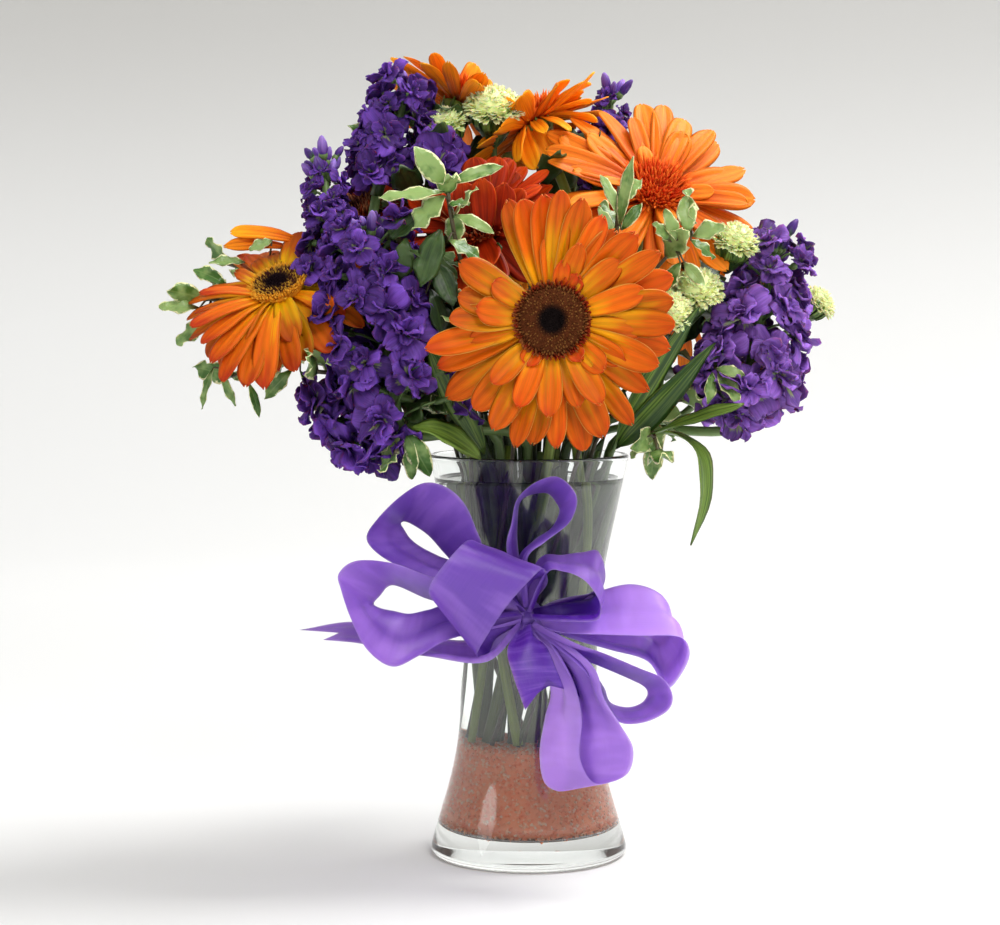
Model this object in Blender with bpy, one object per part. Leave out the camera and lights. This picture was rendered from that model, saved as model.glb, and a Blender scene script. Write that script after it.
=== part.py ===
"""Mixed bouquet of gerberas, stock, spray carnations and pittosporum in a concave glass vase.

Lengths below are millimetres and are scaled to metres where a mesh is made. The origin is the
middle of the vase's foot, +Z is up, and the bow faces -Y. Every stem stands on the gravel, runs
straight up through the water and bends from the rim to its bloom. Repeats are placed by rules
with seeded draws, and each one that would touch an earlier piece is bent clear of it.
"""

import math
import random

import bmesh
import bpy
from mathutils import Vector
from mathutils.bvhtree import BVHTree

MM = 0.001
CLEARANCE = 0.3
SEARCH_MARGIN = 0.35

VASE_HEIGHT = 208.0
FOOT_PROFILE = ((46.0, 0.0), (49.8, 1.4))
VASE_SIDES = 24
GLASS_WALL = 2.8
GLASS_FLOOR = 13.0
FLOOR_INSET = 4.0

# Outline of the vase from its foot to its rim: height, outer radius.
VASE_OUTLINE = (
    (4.0, 51.0), (16.0, 47.8), (27.0, 44.5), (38.0, 41.4), (49.0, 38.9), (60.0, 37.0), (74.0, 35.8),
    (101.0, 35.5), (125.0, 36.8), (149.0, 39.2), (182.0, 46.0), (208.0, 51.6),
)
VASE_OUTER_HEIGHTS = (4.0, 24.0, 44.0, 66.0, 100.0, 127.0, 152.0, 179.0)
VASE_INNER_HEIGHTS = (179.0, 152.0, 127.0, 100.0, 66.0, 44.0, 24.0)
LIP_RISE = 0.9

GRAVEL_TOP = 60.0
GRAVEL_RELIEF = 0.8
GRAVEL_CORNER_INSET = 4.2
GRAVEL_RINGS = (24.0, 12.0)
GRAVEL_LOOSE_RADIUS = 30.0
WATER_TOP = 196.0
HOLE_OVERRUN = 4.0

STEM_FOOT_HEIGHT = GRAVEL_TOP + CLEARANCE
STEM_RIM_HEIGHT = 205.0
STEM_RIM_OVERRUN = 4.0
BUNCH_FOOT_RADIUS = 29.0
BUNCH_RIM_RADIUS = 41.0
BUNCH_TWIST = math.radians(78.0)
STEM_STEPS = 4
STEM_LIFTS = (0.35, 0.22, 0.5)
STEM_SHIFT = 5.0
STEM_SHIFT_RINGS = 7
STEM_SHIFT_WAYS = 8
STEM_LEAN = 0.34
HEAD_RUN = 3.0
RIM_ROOM = 4.0
SLOT_ROUNDS = 12
GERBERA_STEM = (2.7, 5)
STOCK_STEM = (2.5, 5)
SPRAY_STEM = (2.0, 5)
TWIG = (1.4, 4)
SIDE_TWIG = (1.1, 4)
BRANCH = (1.5, 4)
GOLDEN_ANGLE = math.radians(137.508)

RIBBON_THICKNESS = 0.8
RIBBON_WIDTH = 38.0
BAND_HEIGHT = 126.0
BAND_WIDTH = 12.0
BAND_THICKNESS = 1.2
BAND_GAP = 0.36
BOW_STEPS = 1
KNOT_SIZE = (8.0, 6.5, 10.0)
KNOT_HEIGHT = 128.0

PETAL_THICKNESS = 1.0
LEAF_THICKNESS = 0.9
STRIP_FLIPS = (2,)


# Vectors, outlines and small solids

def facing(azimuth, elevation):
    """Unit vector; azimuth 0 faces -Y and grows towards +X, elevation is above the horizontal."""
    turn, lift = math.radians(azimuth), math.radians(elevation)
    return Vector((math.cos(lift) * math.sin(turn), -math.cos(lift) * math.cos(turn), math.sin(lift)))


def across_axes(axis):
    """Two unit vectors square to the axis, the first level and the second pointing up its face."""
    level = Vector((0, 0, 1)).cross(axis)
    if level.length < 1e-4:
        level = Vector((1, 0, 0))
    level.normalize()
    return level, axis.cross(level).normalized()


def bezier(points, fraction):
    """Point on the Bezier curve through any number of control points."""
    level = [Vector(point) for point in points]
    while len(level) > 1:
        level = [a.lerp(b, fraction) for a, b in zip(level, level[1:])]
    return level[0]


def smooth_path(points, steps):
    """Catmull-Rom curve through the points, with a number of steps between neighbours."""
    points = [Vector(point) for point in points]
    padded = [points[0] * 2 - points[1]] + points + [points[-1] * 2 - points[-2]]
    path = []
    for a, b, c, d in zip(padded, padded[1:], padded[2:], padded[3:]):
        for step in range(steps):
            t = step / steps
            path.append(0.5 * (2 * b + (c - a) * t + (2 * a - 5 * b + 4 * c - d) * t ** 2
                               + (3 * b - a - 3 * c + d) * t ** 3))
    return path + [points[-1]]


def outline_radius(height):
    """Outer radius of the vase at a height, on a smooth curve through its outline points."""
    rows = VASE_OUTLINE
    if height <= rows[0][0]:
        return rows[0][1]
    for i in range(len(rows) - 1):
        (z0, r0), (z1, r1) = rows[i], rows[i + 1]
        if height <= z1:
            before = rows[max(i - 1, 0)]
            after = rows[min(i + 2, len(rows) - 1)]
            slope0 = (r1 - before[1]) / (z1 - before[0])
            slope1 = (after[1] - r0) / (after[0] - z0)
            span = z1 - z0
            t = (height - z0) / span
            return ((2 * t ** 3 - 3 * t ** 2 + 1) * r0 + (t ** 3 - 2 * t ** 2 + t) * span * slope0
                    + (3 * t ** 2 - 2 * t ** 3) * r1 + (t ** 3 - t ** 2) * span * slope1)
    return rows[-1][1]


def inner_radius(height):
    return outline_radius(height) - GLASS_WALL


def turned(profile, sides, closed=False):
    """Closed solid turned about Z from (radius, height) pairs, up the outside.

    A radius of 0 is a pole. An end with a radius is closed by one flat face, or, where the
    profile is closed, joins the other end and makes a hoop.
    """
    verts, rings = [], []
    for radius, height in profile:
        if radius == 0:
            rings.append([len(verts)] * sides)
            verts.append(Vector((0, 0, height)))
            continue
        rings.append(list(range(len(verts), len(verts) + sides)))
        for i in range(sides):
            angle = math.tau * i / sides
            verts.append(Vector((radius * math.cos(angle), radius * math.sin(angle), height)))
    if closed:
        return verts, ring_faces(rings + rings[:1])
    return verts, ring_faces(rings) + end_faces(rings)


def ring_faces(rings, flipped=()):
    """Triangles between neighbouring rings of equal count, leaving out those of no size.

    The quads numbered in flipped are split by their other diagonal, so that the two faces of a
    thin blade or strip are split alike and never cross.
    """
    faces = []
    for low, high in zip(rings, rings[1:]):
        count = len(low)
        for i in range(count):
            j = (i + 1) % count
            pair = ((low[i], low[j], high[j]), (low[i], high[j], high[i]))
            if i in flipped:
                pair = ((low[i], low[j], high[i]), (low[j], high[j], high[i]))
            faces += [face for face in pair if len(set(face)) == 3]
    return faces


def end_faces(rings):
    """One flat face over each open end of a run of rings."""
    faces = []
    if len(set(rings[0])) > 1:
        faces.append(tuple(reversed(rings[0])))
    if len(set(rings[-1])) > 1:
        faces.append(tuple(rings[-1]))
    return faces


def frames_along(path):
    """(point, tangent, side, up) at each point of a path, turning as little as possible."""
    tangents = []
    for i in range(len(path)):
        tangents.append((path[min(i + 1, len(path) - 1)] - path[max(i - 1, 0)]).normalized())
    side = across_axes(tangents[0])[0]
    frames = []
    for point, tangent in zip(path, tangents):
        side = (side - tangent * side.dot(tangent)).normalized()
        frames.append((point, tangent, side, tangent.cross(side)))
    return frames


def tube(path, radii, sides, level_foot=False):
    """Closed round rod along a path; its foot can be cut level."""
    verts, rings = [], []
    for (point, tangent, side, up), radius in zip(frames_along(path), radii):
        rings.append(list(range(len(verts), len(verts) + sides)))
        for i in range(sides):
            angle = math.tau * i / sides
            vert = point + (side * math.cos(angle) + up * math.sin(angle)) * radius
            if level_foot and len(rings) == 1:
                vert -= tangent * ((vert.z - point.z) / tangent.z)
            verts.append(vert)
    return verts, ring_faces(rings) + end_faces(rings)


def prism(path, radius, sides):
    """Straight rod with plain rectangular sides, for cutting a hole."""
    verts, faces = tube(path, [radius, radius], sides)
    walls = [(i, (i + 1) % sides, sides + (i + 1) % sides, sides + i) for i in range(sides)]
    return verts, walls + faces[-2:]


def blade(spine, sides, ups, half_widths, thickness, waves=None):
    """Leaf or petal: pointed at both ends, with a flat face and a keel under its middle line."""
    verts = [spine[0]]
    rings = [[0] * 3]
    for i in range(1, len(spine) - 1):
        wave = waves[i] if waves else 0.0
        rings.append([len(verts), len(verts) + 1, len(verts) + 2])
        verts += [
            spine[i] + sides[i] * half_widths[i] + ups[i] * (wave + thickness / 2),
            spine[i] - sides[i] * half_widths[i] + ups[i] * (thickness / 2 - wave),
            spine[i] - ups[i] * (thickness / 2),
        ]
    rings.append([len(verts)] * 3)
    verts.append(spine[-1])
    return verts, ring_faces(rings)


def petal(centre, axis, turn, start, length, half_width, rise, bend, roll, spread=0.0,
          stations=((0.3, 0.62), (0.74, 1.0))):
    """Petal of a flat bloom: it leaves the axis at a turn, rises, bends back and rolls a little."""
    level, high = across_axes(axis)
    out = level * math.cos(turn) + high * math.sin(turn)
    side = high * math.cos(turn) - level * math.sin(turn)
    point = centre + out * start
    spine, sides, ups, widths = [point.copy()], [side], [axis], [0.0]
    before = 0.0
    for fraction, width in tuple(stations) + ((1.0, 0.0),):
        angle = rise + bend * (before + fraction) / 2
        along = out * math.cos(angle) + axis * math.sin(angle)
        point = point + along * ((length + 2 * spread) * (fraction - before))
        up = axis * math.cos(angle) - out * math.sin(angle)
        spine.append(point.copy())
        sides.append(side * math.cos(roll) + up * math.sin(roll))
        ups.append(up * math.cos(roll) - side * math.sin(roll))
        widths.append(half_width * width + spread)
        before = fraction
    return blade(spine, sides, ups, widths, PETAL_THICKNESS + 2 * spread)


# Clearing pieces of one another

class Clear:
    """Remembers the solids placed so far and tells whether a new one would touch them."""

    def __init__(self):
        self.placed = []

    @staticmethod
    def box(verts):
        return [(min(v[i] for v in verts), max(v[i] for v in verts)) for i in range(3)]

    def add(self, node, piece):
        verts, faces = piece
        self.placed.append((node, self.box(verts), BVHTree.FromPolygons(verts, faces)))

    def touches(self, own, piece):
        """own names the node that the piece belongs to, or several whose solids it may touch."""
        verts, faces = piece
        own = (own,) if isinstance(own, str) else own
        box = self.box(verts)
        tree = None
        for other, other_box, other_tree in self.placed:
            if other in own:
                continue
            if any(a[1] < b[0] or b[1] < a[0] for a, b in zip(box, other_box)):
                continue
            tree = tree or BVHTree.FromPolygons(verts, faces)
            if tree.overlap(other_tree) or inside(verts[0], other_tree):
                return True
        return False

    def room_for(self, own, shape, *spec):
        """True where a piece clears the rest both at its own size and a margin larger."""
        return not any(self.touches(own, shape(*spec, spread=spread)) for spread in (SEARCH_MARGIN, 0.0))


def inside(point, tree):
    """True where a point lies within a closed surface, by counting the walls above it."""
    walls = 0
    start = Vector(point)
    direction = Vector((0.13, 0.07, 1.0)).normalized()
    while walls < 40:
        hit = tree.ray_cast(start, direction)[0]
        if hit is None:
            break
        walls += 1
        start = hit + direction * 0.001
    return walls % 2 == 1


CLEAR = Clear()


# Objects, unions and materials

def material(name, colour, roughness, metallic=0.0, transmission=0.0):
    surface = bpy.data.materials.new(name)
    surface.use_nodes = True
    shader = surface.node_tree.nodes["Principled BSDF"]
    shader.inputs["Base Color"].default_value = (*colour, 1.0)
    shader.inputs["Roughness"].default_value = roughness
    shader.inputs["Metallic"].default_value = metallic
    shader.inputs["Transmission Weight"].default_value = transmission
    return surface


def solid(name, piece, surface=None):
    """One object from vertices in millimetres and their faces, with its faces turned out."""
    verts, faces = piece
    mesh = bpy.data.meshes.new(name)
    mesh.from_pydata([vert * MM for vert in verts], [], faces)
    shape = bmesh.new()
    shape.from_mesh(mesh)
    bmesh.ops.recalc_face_normals(shape, faces=shape.faces)
    if shape.calc_volume(signed=True) < 0:
        bmesh.ops.reverse_faces(shape, faces=shape.faces)
    shape.to_mesh(mesh)
    shape.free()
    item = bpy.data.objects.new(name, mesh)
    bpy.context.scene.collection.objects.link(item)
    if surface:
        mesh.materials.append(surface)
    return item


def shells(shape):
    """The connected bodies of a bmesh, each as a list of its faces."""
    left = set(shape.faces)
    found = []
    while left:
        start = left.pop()
        body, edge = [start], [start]
        while edge:
            for side in edge.pop().edges:
                if len(side.link_faces) > 2:
                    continue
                for face in side.link_faces:
                    if face in left:
                        left.remove(face)
                        body.append(face)
                        edge.append(face)
        found.append(body)
    return found


def keep_one_body(mesh):
    """Fills the hollows that a union sealed and drops its loose scraps."""
    shape = bmesh.new()
    shape.from_mesh(mesh)
    bmesh.ops.triangulate(shape, faces=shape.faces)
    bodies = shells(shape)

    def size(body):
        corners = [vert.co for face in body for vert in face.verts]
        return sum((max(c[i] for c in corners) - min(c[i] for c in corners)) for i in range(3))

    bodies.sort(key=size, reverse=True)
    spare = [face for body in bodies[1:] for face in body]
    if spare:
        bmesh.ops.delete(shape, geom=spare, context="FACES")
    bmesh.ops.dissolve_degenerate(shape, dist=2e-6, edges=shape.edges)
    bmesh.ops.triangulate(shape, faces=shape.faces)
    shape.to_mesh(mesh)
    shape.free()


def apply_modifiers(item):
    view = bpy.context.evaluated_depsgraph_get()
    mesh = bpy.data.meshes.new_from_object(item.evaluated_get(view))
    item.modifiers.clear()
    old = item.data
    item.data = mesh
    mesh.name = item.name
    bpy.data.meshes.remove(old)


def join(item, others, operation="UNION"):
    """One Boolean with a collection of solids, applied, with the collection's objects removed."""
    if not others:
        return
    group = bpy.data.collections.new(item.name + "_repeats")
    for other in others:
        group.objects.link(other)
    cut = item.modifiers.new("join", "BOOLEAN")
    cut.operation = operation
    cut.operand_type = "COLLECTION"
    cut.collection = group
    cut.solver = "EXACT"
    apply_modifiers(item)
    for other in list(group.objects):
        mesh = other.data
        bpy.data.objects.remove(other)
        bpy.data.meshes.remove(mesh)
    bpy.data.collections.remove(group)


def fused(name, pieces, surface, smooth=False):
    """A node whose pieces are joined into one closed body."""
    item = solid(name, pieces[0], surface)
    join(item, [solid(f"{name}_{i}", piece) for i, piece in enumerate(pieces[1:])])
    keep_one_body(item.data)
    if smooth:
        item.data.shade_smooth()
        item.data.set_sharp_from_angle(angle=math.radians(40))
    return item


# Glass, gravel and water

def vase_profile():
    rim = VASE_OUTLINE[-1][1]
    rows = list(FOOT_PROFILE)
    rows += [(outline_radius(z), z) for z in VASE_OUTER_HEIGHTS]
    rows += [(rim, VASE_HEIGHT), (rim - GLASS_WALL / 2, VASE_HEIGHT + LIP_RISE)]
    rows += [(rim - GLASS_WALL, VASE_HEIGHT)]
    rows += [(inner_radius(z), z) for z in VASE_INNER_HEIGHTS]
    rows += [(inner_radius(GLASS_FLOOR) - FLOOR_INSET, GLASS_FLOOR)]
    return rows


def build_vase(surface):
    piece = turned(vase_profile(), VASE_SIDES)
    item = solid("vase", piece, surface)
    item.data.shade_smooth()
    item.data.set_sharp_from_angle(angle=math.radians(50))
    CLEAR.add("vase", piece)


def filling(low, high, heights, low_inset):
    """Profile of what fills the vase between two heights, a clearance in from the glass."""
    gap = CLEARANCE / math.cos(math.pi / VASE_SIDES)
    rows = [(inner_radius(low) - gap - low_inset, low)]
    rows += [(inner_radius(z) - gap, z) for z in sorted(heights) if low < z < high - 3]
    rows += [(inner_radius(high) - gap, high)]
    return rows


def stem_holes(runs, low, high):
    """Cutters: each stem's straight run between two heights, a clearance wider than the stem."""
    holes = []
    for i, run in enumerate(runs):
        wide = run.radius + CLEARANCE / math.cos(math.pi / run.sides)
        ends = [run.straight_at(low), run.straight_at(high)]
        holes.append(solid(f"hole_{i}", prism(ends, wide, run.sides)))
    return holes


def build_gravel(surface):
    """Bed of fine chips on the glass floor, a little uneven where the stems stand on it."""
    rows = filling(GLASS_FLOOR + CLEARANCE, GRAVEL_TOP, VASE_INNER_HEIGHTS, GRAVEL_CORNER_INSET)
    rows += [(radius, GRAVEL_TOP) for radius in GRAVEL_RINGS] + [(0, GRAVEL_TOP)]
    verts, faces = turned(rows, VASE_SIDES)
    draw = random.Random(7)
    for vert in verts:
        if vert.z == GRAVEL_TOP and math.hypot(vert.x, vert.y) < GRAVEL_LOOSE_RADIUS:
            vert.z -= draw.random() * GRAVEL_RELIEF
    solid("gravel", (verts, faces), surface)


def build_water(runs, surface):
    low = GRAVEL_TOP + CLEARANCE
    item = solid("water", turned(filling(low, WATER_TOP, VASE_INNER_HEIGHTS, 0.0), VASE_SIDES), surface)
    join(item, stem_holes(runs, low - HOLE_OVERRUN, WATER_TOP + HOLE_OVERRUN), "DIFFERENCE")
    keep_one_body(item.data)


# Stems

class Stem:
    """A stem's straight run in the vase and its curve from the rim to its head."""

    def __init__(self, name, radius, sides, base, axis, reach=0.42):
        self.name = name
        self.radius = radius
        self.sides = sides
        self.base = Vector(base)
        self.axis = Vector(axis)
        self.reach = reach
        self.slot = 0j
        self.shift = Vector((0, 0, 0))
        self.way = []

    def straight_at(self, height):
        """Point on the straight run: the bunch crosses in the neck as one twisted pencil of lines."""
        share = (height - STEM_FOOT_HEIGHT) / (STEM_RIM_HEIGHT - STEM_FOOT_HEIGHT)
        turn = complex(math.cos(BUNCH_TWIST), math.sin(BUNCH_TWIST))
        place = self.slot * ((1 - share) * BUNCH_FOOT_RADIUS + share * BUNCH_RIM_RADIUS * turn)
        return Vector((place.real, place.imag, height))

    def controls(self, lift):
        """Bezier points above the rim, shared by every way to bend the stem clear."""
        rim = self.straight_at(STEM_RIM_HEIGHT + STEM_RIM_OVERRUN)
        along = (rim - self.straight_at(STEM_FOOT_HEIGHT)).normalized()
        span = (self.base - rim).length
        room = max(self.base.z - rim.z - RIM_ROOM, RIM_ROOM) / max(self.axis.z, 0.1)
        reach = min(span * self.reach, room)
        return (rim, rim + along * span * lift + self.shift,
                self.base - self.axis * reach + self.shift, self.base)

    def rod(self, points=None):
        """The stem's solid along the way that was found for it, or a first part of it."""
        way = self.way[:points]
        return tube(way, [self.radius] * len(way), self.sides, level_foot=True)

    def path(self, steps, lift):
        """Foot, rim and a number of steps to the base, the last of them along the head's axis."""
        points = self.controls(lift)
        way = [self.straight_at(STEM_FOOT_HEIGHT), self.straight_at(STEM_RIM_HEIGHT + STEM_RIM_OVERRUN)]
        way += [bezier(points, i / steps) for i in range(1, steps)]
        return way + [self.base - self.axis * HEAD_RUN, self.base]


def give_slots(stems):
    """Gives each stem a place in the bunch near the side its head leans to, by swapping pairs."""
    count = len(stems)
    slots = []
    for i in range(count):
        angle = GOLDEN_ANGLE * i
        slots.append(math.sqrt((i + 0.5) / count) * complex(math.cos(angle), math.sin(angle)))
    for stem, slot in zip(stems, slots):
        stem.slot = slot

    def strain(stem, slot):
        stem.slot = slot
        rim = stem.straight_at(STEM_RIM_HEIGHT)
        want = Vector((stem.base.x, stem.base.y)) * STEM_LEAN
        return (Vector((rim.x, rim.y)) - want).length_squared

    for _ in range(SLOT_ROUNDS):
        for i in range(count):
            for j in range(i):
                a, b = stems[i], stems[j]
                slot_a, slot_b = a.slot, b.slot
                kept = strain(a, slot_a) + strain(b, slot_b)
                swapped = strain(a, slot_b) + strain(b, slot_a)
                if kept <= swapped:
                    a.slot, b.slot = slot_a, slot_b


def clear_stem(stem, steps):
    """Tries bends of the stem until it runs clear of what is already placed."""
    for ring in range(STEM_SHIFT_RINGS):
        for i in range(1 if ring == 0 else STEM_SHIFT_WAYS):
            angle = math.tau * i / STEM_SHIFT_WAYS
            stem.shift = Vector((math.cos(angle), math.sin(angle), 0.3)) * STEM_SHIFT * ring
            for lift in STEM_LIFTS:
                way = stem.path(steps, lift)
                wide = tube(way, [stem.radius + SEARCH_MARGIN] * len(way), stem.sides)
                if not CLEAR.touches((stem.name, stem.name + "_core"), wide):
                    return way
    stem.shift = Vector((0, 0, 0))
    return stem.path(steps, STEM_LIFTS[0])


# Gerberas

class Gerbera:
    """One gerbera: where its face is, where it looks, its size and its petal layers."""

    def __init__(self, name, centre, azimuth, elevation, radius, eye, layers, droop, colour, seed):
        self.name = name
        self.centre = Vector(centre)
        self.axis = facing(azimuth, elevation)
        self.radius = radius
        self.eye = eye
        self.layers = layers
        self.droop = math.radians(droop)
        self.colour = colour
        self.seed = seed

    @property
    def plate_radius(self):
        return self.eye * GERBERA_PLATE_SHARE

    def stem_base(self):
        return self.centre - self.axis * (GERBERA_PLATE / 2 + CLEARANCE + GERBERA_CUP_DEPTH - 1)


GERBERA_PLATE = 4.4
GERBERA_PLATE_SHARE = 0.86
GERBERA_PLATE_SIDES = 12
GERBERA_CUP_DEPTH = 9.0
GERBERA_CUP_SIDES = 7
GERBERA_EYE_HEIGHT = 5.0
GERBERA_EYE_RELIEF = 0.45
PETAL_ROOT_DEPTH = 4.5
PETAL_ROLL = math.radians(11)

# Each petal layer: rise in degrees, share of the full length, step up the axis, half width share.
GERBERA_LAYERS = ((0.0, 1.0, -1.1, 0.125), (9.0, 0.86, 0.0, 0.12), (17.0, 0.55, 0.9, 0.09))

# Ways to make room for a petal: share of its length, and degrees that it is lifted.
GERBERA_BENDS = ((1.0, 0), (1.0, 6), (1.0, -6), (1.0, 13), (1.0, -13), (0.9, 0), (0.85, 20), (0.8, -20),
                 (0.7, 8), (0.7, -8), (0.65, 28), (0.6, -28), (0.5, 0), (0.45, 35))

AMBER = (0.86, 0.34, 0.02)
ORANGE = (0.85, 0.20, 0.01)
RED_ORANGE = (0.62, 0.07, 0.01)

GERBERAS = (
    Gerbera("gerbera_front", (11, -85, 278), 0, 3, 61, 19, (18, 12, 6), 2, ORANGE, 11),
    Gerbera("gerbera_left", (-124, -44, 293), -24, 54, 53, 15, (14, 6, 0), -30, ORANGE, 12),
    Gerbera("gerbera_right", (64, -14, 342), 15, 42, 56, 14, (13, 7, 3), -2, ORANGE, 13),
    Gerbera("gerbera_middle", (-25, -34, 324), -10, 46, 46, 13, (11, 5, 0), 8, RED_ORANGE, 14),
    Gerbera("gerbera_top_left", (-36, 22, 389), 130, 52, 44, 13, (10, 4, 0), 4, AMBER, 15),
    Gerbera("gerbera_top", (2, 14, 379), -120, 56, 42, 13, (10, 4, 0), 0, AMBER, 16),
    Gerbera("gerbera_behind", (-88, 14, 331), -46, 52, 44, 14, (10, 4, 0), -6, RED_ORANGE, 17),
    Gerbera("gerbera_back", (6, 88, 313), 178, 34, 52, 16, (10, 4, 0), -6, ORANGE, 18),
    Gerbera("gerbera_back_right", (82, 62, 289), 128, 26, 48, 15, (10, 3, 0), -8, AMBER, 19),
)


def oriented(piece, centre, axis):
    """A piece turned about Z laid on an axis through a centre."""
    level, high = across_axes(axis)
    verts = [centre + level * v.x + high * v.y + axis * v.z for v in piece[0]]
    return verts, piece[1]


def gerbera_plate(flower):
    half = GERBERA_PLATE / 2
    ends = [flower.centre - flower.axis * half, flower.centre + flower.axis * half]
    return prism(ends, flower.plate_radius, GERBERA_PLATE_SIDES)


def gerbera_eye(flower):
    """Domed disc in whorls of florets, dished in the middle, on the plate."""
    low = GERBERA_PLATE / 2 + CLEARANCE
    high = low + GERBERA_EYE_HEIGHT
    edge = flower.eye
    rows = [(edge - 3, low), (edge, low + 2.4), (edge * 0.72, high), (0, high - 1.6)]
    verts, faces = turned(rows, GERBERA_PLATE_SIDES)
    draw = random.Random(flower.seed)
    for vert in verts:
        if vert.z > low + 0.1:
            vert.z += draw.uniform(-GERBERA_EYE_RELIEF, GERBERA_EYE_RELIEF)
    return oriented((verts, faces), flower.centre, flower.axis)


def gerbera_cup(flower):
    """Green cup of bracts under the head, widening from the stem."""
    top = -(GERBERA_PLATE / 2 + CLEARANCE)
    foot = GERBERA_STEM[0] + 0.7
    rows = [(foot, top - GERBERA_CUP_DEPTH), (flower.plate_radius * 0.8, top - 2.6),
            (flower.plate_radius * 0.86, top)]
    return oriented(turned(rows, GERBERA_CUP_SIDES), flower.centre, flower.axis)


def gerbera_petals(flower):
    """Ray petals in layers; each layer is rolled like a fan, so that neighbours lie one on another."""
    draw = random.Random(flower.seed * 31)
    pieces = []
    for layer, count in enumerate(flower.layers):
        rise, share, step, width = GERBERA_LAYERS[layer]
        for i in range(count):
            turn = math.tau * (i + 0.5 * layer + draw.uniform(-0.12, 0.12)) / count
            start = flower.plate_radius - PETAL_ROOT_DEPTH
            length = (flower.radius - start) * share * draw.uniform(0.94, 1.03)
            half_width = flower.radius * width * draw.uniform(0.92, 1.05)
            lift = math.radians(rise + draw.uniform(-2, 2))
            droop = flower.droop + math.radians(draw.uniform(-6, 4))
            centre = flower.centre + flower.axis * step
            for shorten, extra in GERBERA_BENDS:
                spec = (centre, flower.axis, turn, start, length * shorten, half_width,
                        lift + math.radians(extra), droop, PETAL_ROLL)
                if CLEAR.room_for(flower.name + "_petals", petal, *spec):
                    pieces.append(petal(*spec))
                    break
    return pieces


def build_gerbera(flower, stem, surfaces):
    node = flower.name + "_petals"
    petals = gerbera_petals(flower)
    for piece in petals:
        CLEAR.add(node, piece)
    fused(node, [gerbera_plate(flower)] + petals, material(node, flower.colour, 0.5))
    eye = solid(flower.name + "_eye", gerbera_eye(flower), surfaces["eye"])
    eye.data.shade_smooth()
    fused(flower.name + "_stem", [stem.rod(), gerbera_cup(flower)], surfaces["stem"])


# Stock spikes

class Stock:
    """One spike of stock: its axis from low to high, its spread, florets, taper and lance leaves."""

    def __init__(self, name, low, high, spread, florets, taper, leaves, seed):
        self.name = name
        self.taper = taper
        self.low = Vector(low)
        self.high = Vector(high)
        self.spread = spread
        self.florets = florets
        self.leaves = leaves
        self.seed = seed

    @property
    def axis(self):
        return (self.high - self.low).normalized()


STOCKS = (
    Stock("stock_left", (-96, -46, 269), (-103, -26, 355), 20, 10, 0.4, (), 21),
    Stock("stock_front", (-64, -60, 223), (-80, -50, 323), 35, 14, 0.3,
          (((-24, -52, 209), (-42, -60, 227), (-58, -64, 225)),
           ((-22, -44, 211), (-38, -60, 245), (-50, -62, 267))), 22),
    Stock("stock_top", (-78, -8, 341), (-62, -2, 397), 22, 8, 0.1, (), 23),
    Stock("stock_right", (106, -26, 227), (126, -14, 317), 30, 12, 0.4,
          (((60, -34, 221), (100, -57, 226), (80, -60, 167)),
           ((44, -34, 213), (62, -46, 233), (92, -48, 267)),
           ((34, -30, 211), (54, -54, 245), (84, -56, 285)),
           ((52, -34, 217), (78, -50, 227), (106, -58, 237))), 24),
    Stock("stock_back", (36, 48, 337), (44, 56, 397), 21, 6, 0.5, (), 25),
    Stock("stock_back_left", (-60, 72, 255), (-74, 86, 329), 24, 8, 0.5,
          (((-46, 52, 231), (-70, 66, 225), (-92, 78, 205)),), 26),
)
FLORET_LOBES = 4
FLORET_VALLEY = 0.66
FLORET_TIP_FALL = -1.5
FLORET_VALLEY_RISE = 2.2
FLORET_CROWN = 0.42
FLORET_CROWN_RISE = 5.2
FLORET_THROAT = 2.4
FLORET_LARGEST = 15.0
STOCK_CORE_RADII = (4.4, 5.2, 4.8, 3.6, 2.0)
STOCK_CORE_SIDES = 6
STOCK_TIP = ((0, -2.0), (3.2, 2.0), (2.6, 6.0), (0, 9.5))
STOCK_LEAF_HALF_WIDTH = 7.0

# Stations along a lance leaf, and the share of its half width at each.
LANCE_STATIONS = (0.0, 0.12, 0.3, 0.5, 0.7, 0.88, 1.0)
LANCE_WIDTHS = (0.0, 0.5, 0.9, 1.0, 0.85, 0.5, 0.0)

# Ways to make room for a lance leaf: share of its size, and rise of its end.
LANCE_SCALES = (1.0, 0.85, 0.7, 0.55)
LANCE_LIFTS = (0, 8, -8, 16, -16, 26)

# Ways to make room for a floret: degrees that it swings round the spike, and share of its reach.
FLORET_MOVES = ((0, 1.0), (14, 1.0), (-14, 1.0), (0, 0.82), (28, 0.9), (-28, 0.9), (0, 0.66), (40, 0.75),
                (-40, 0.75), (0, 0.52))


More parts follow.
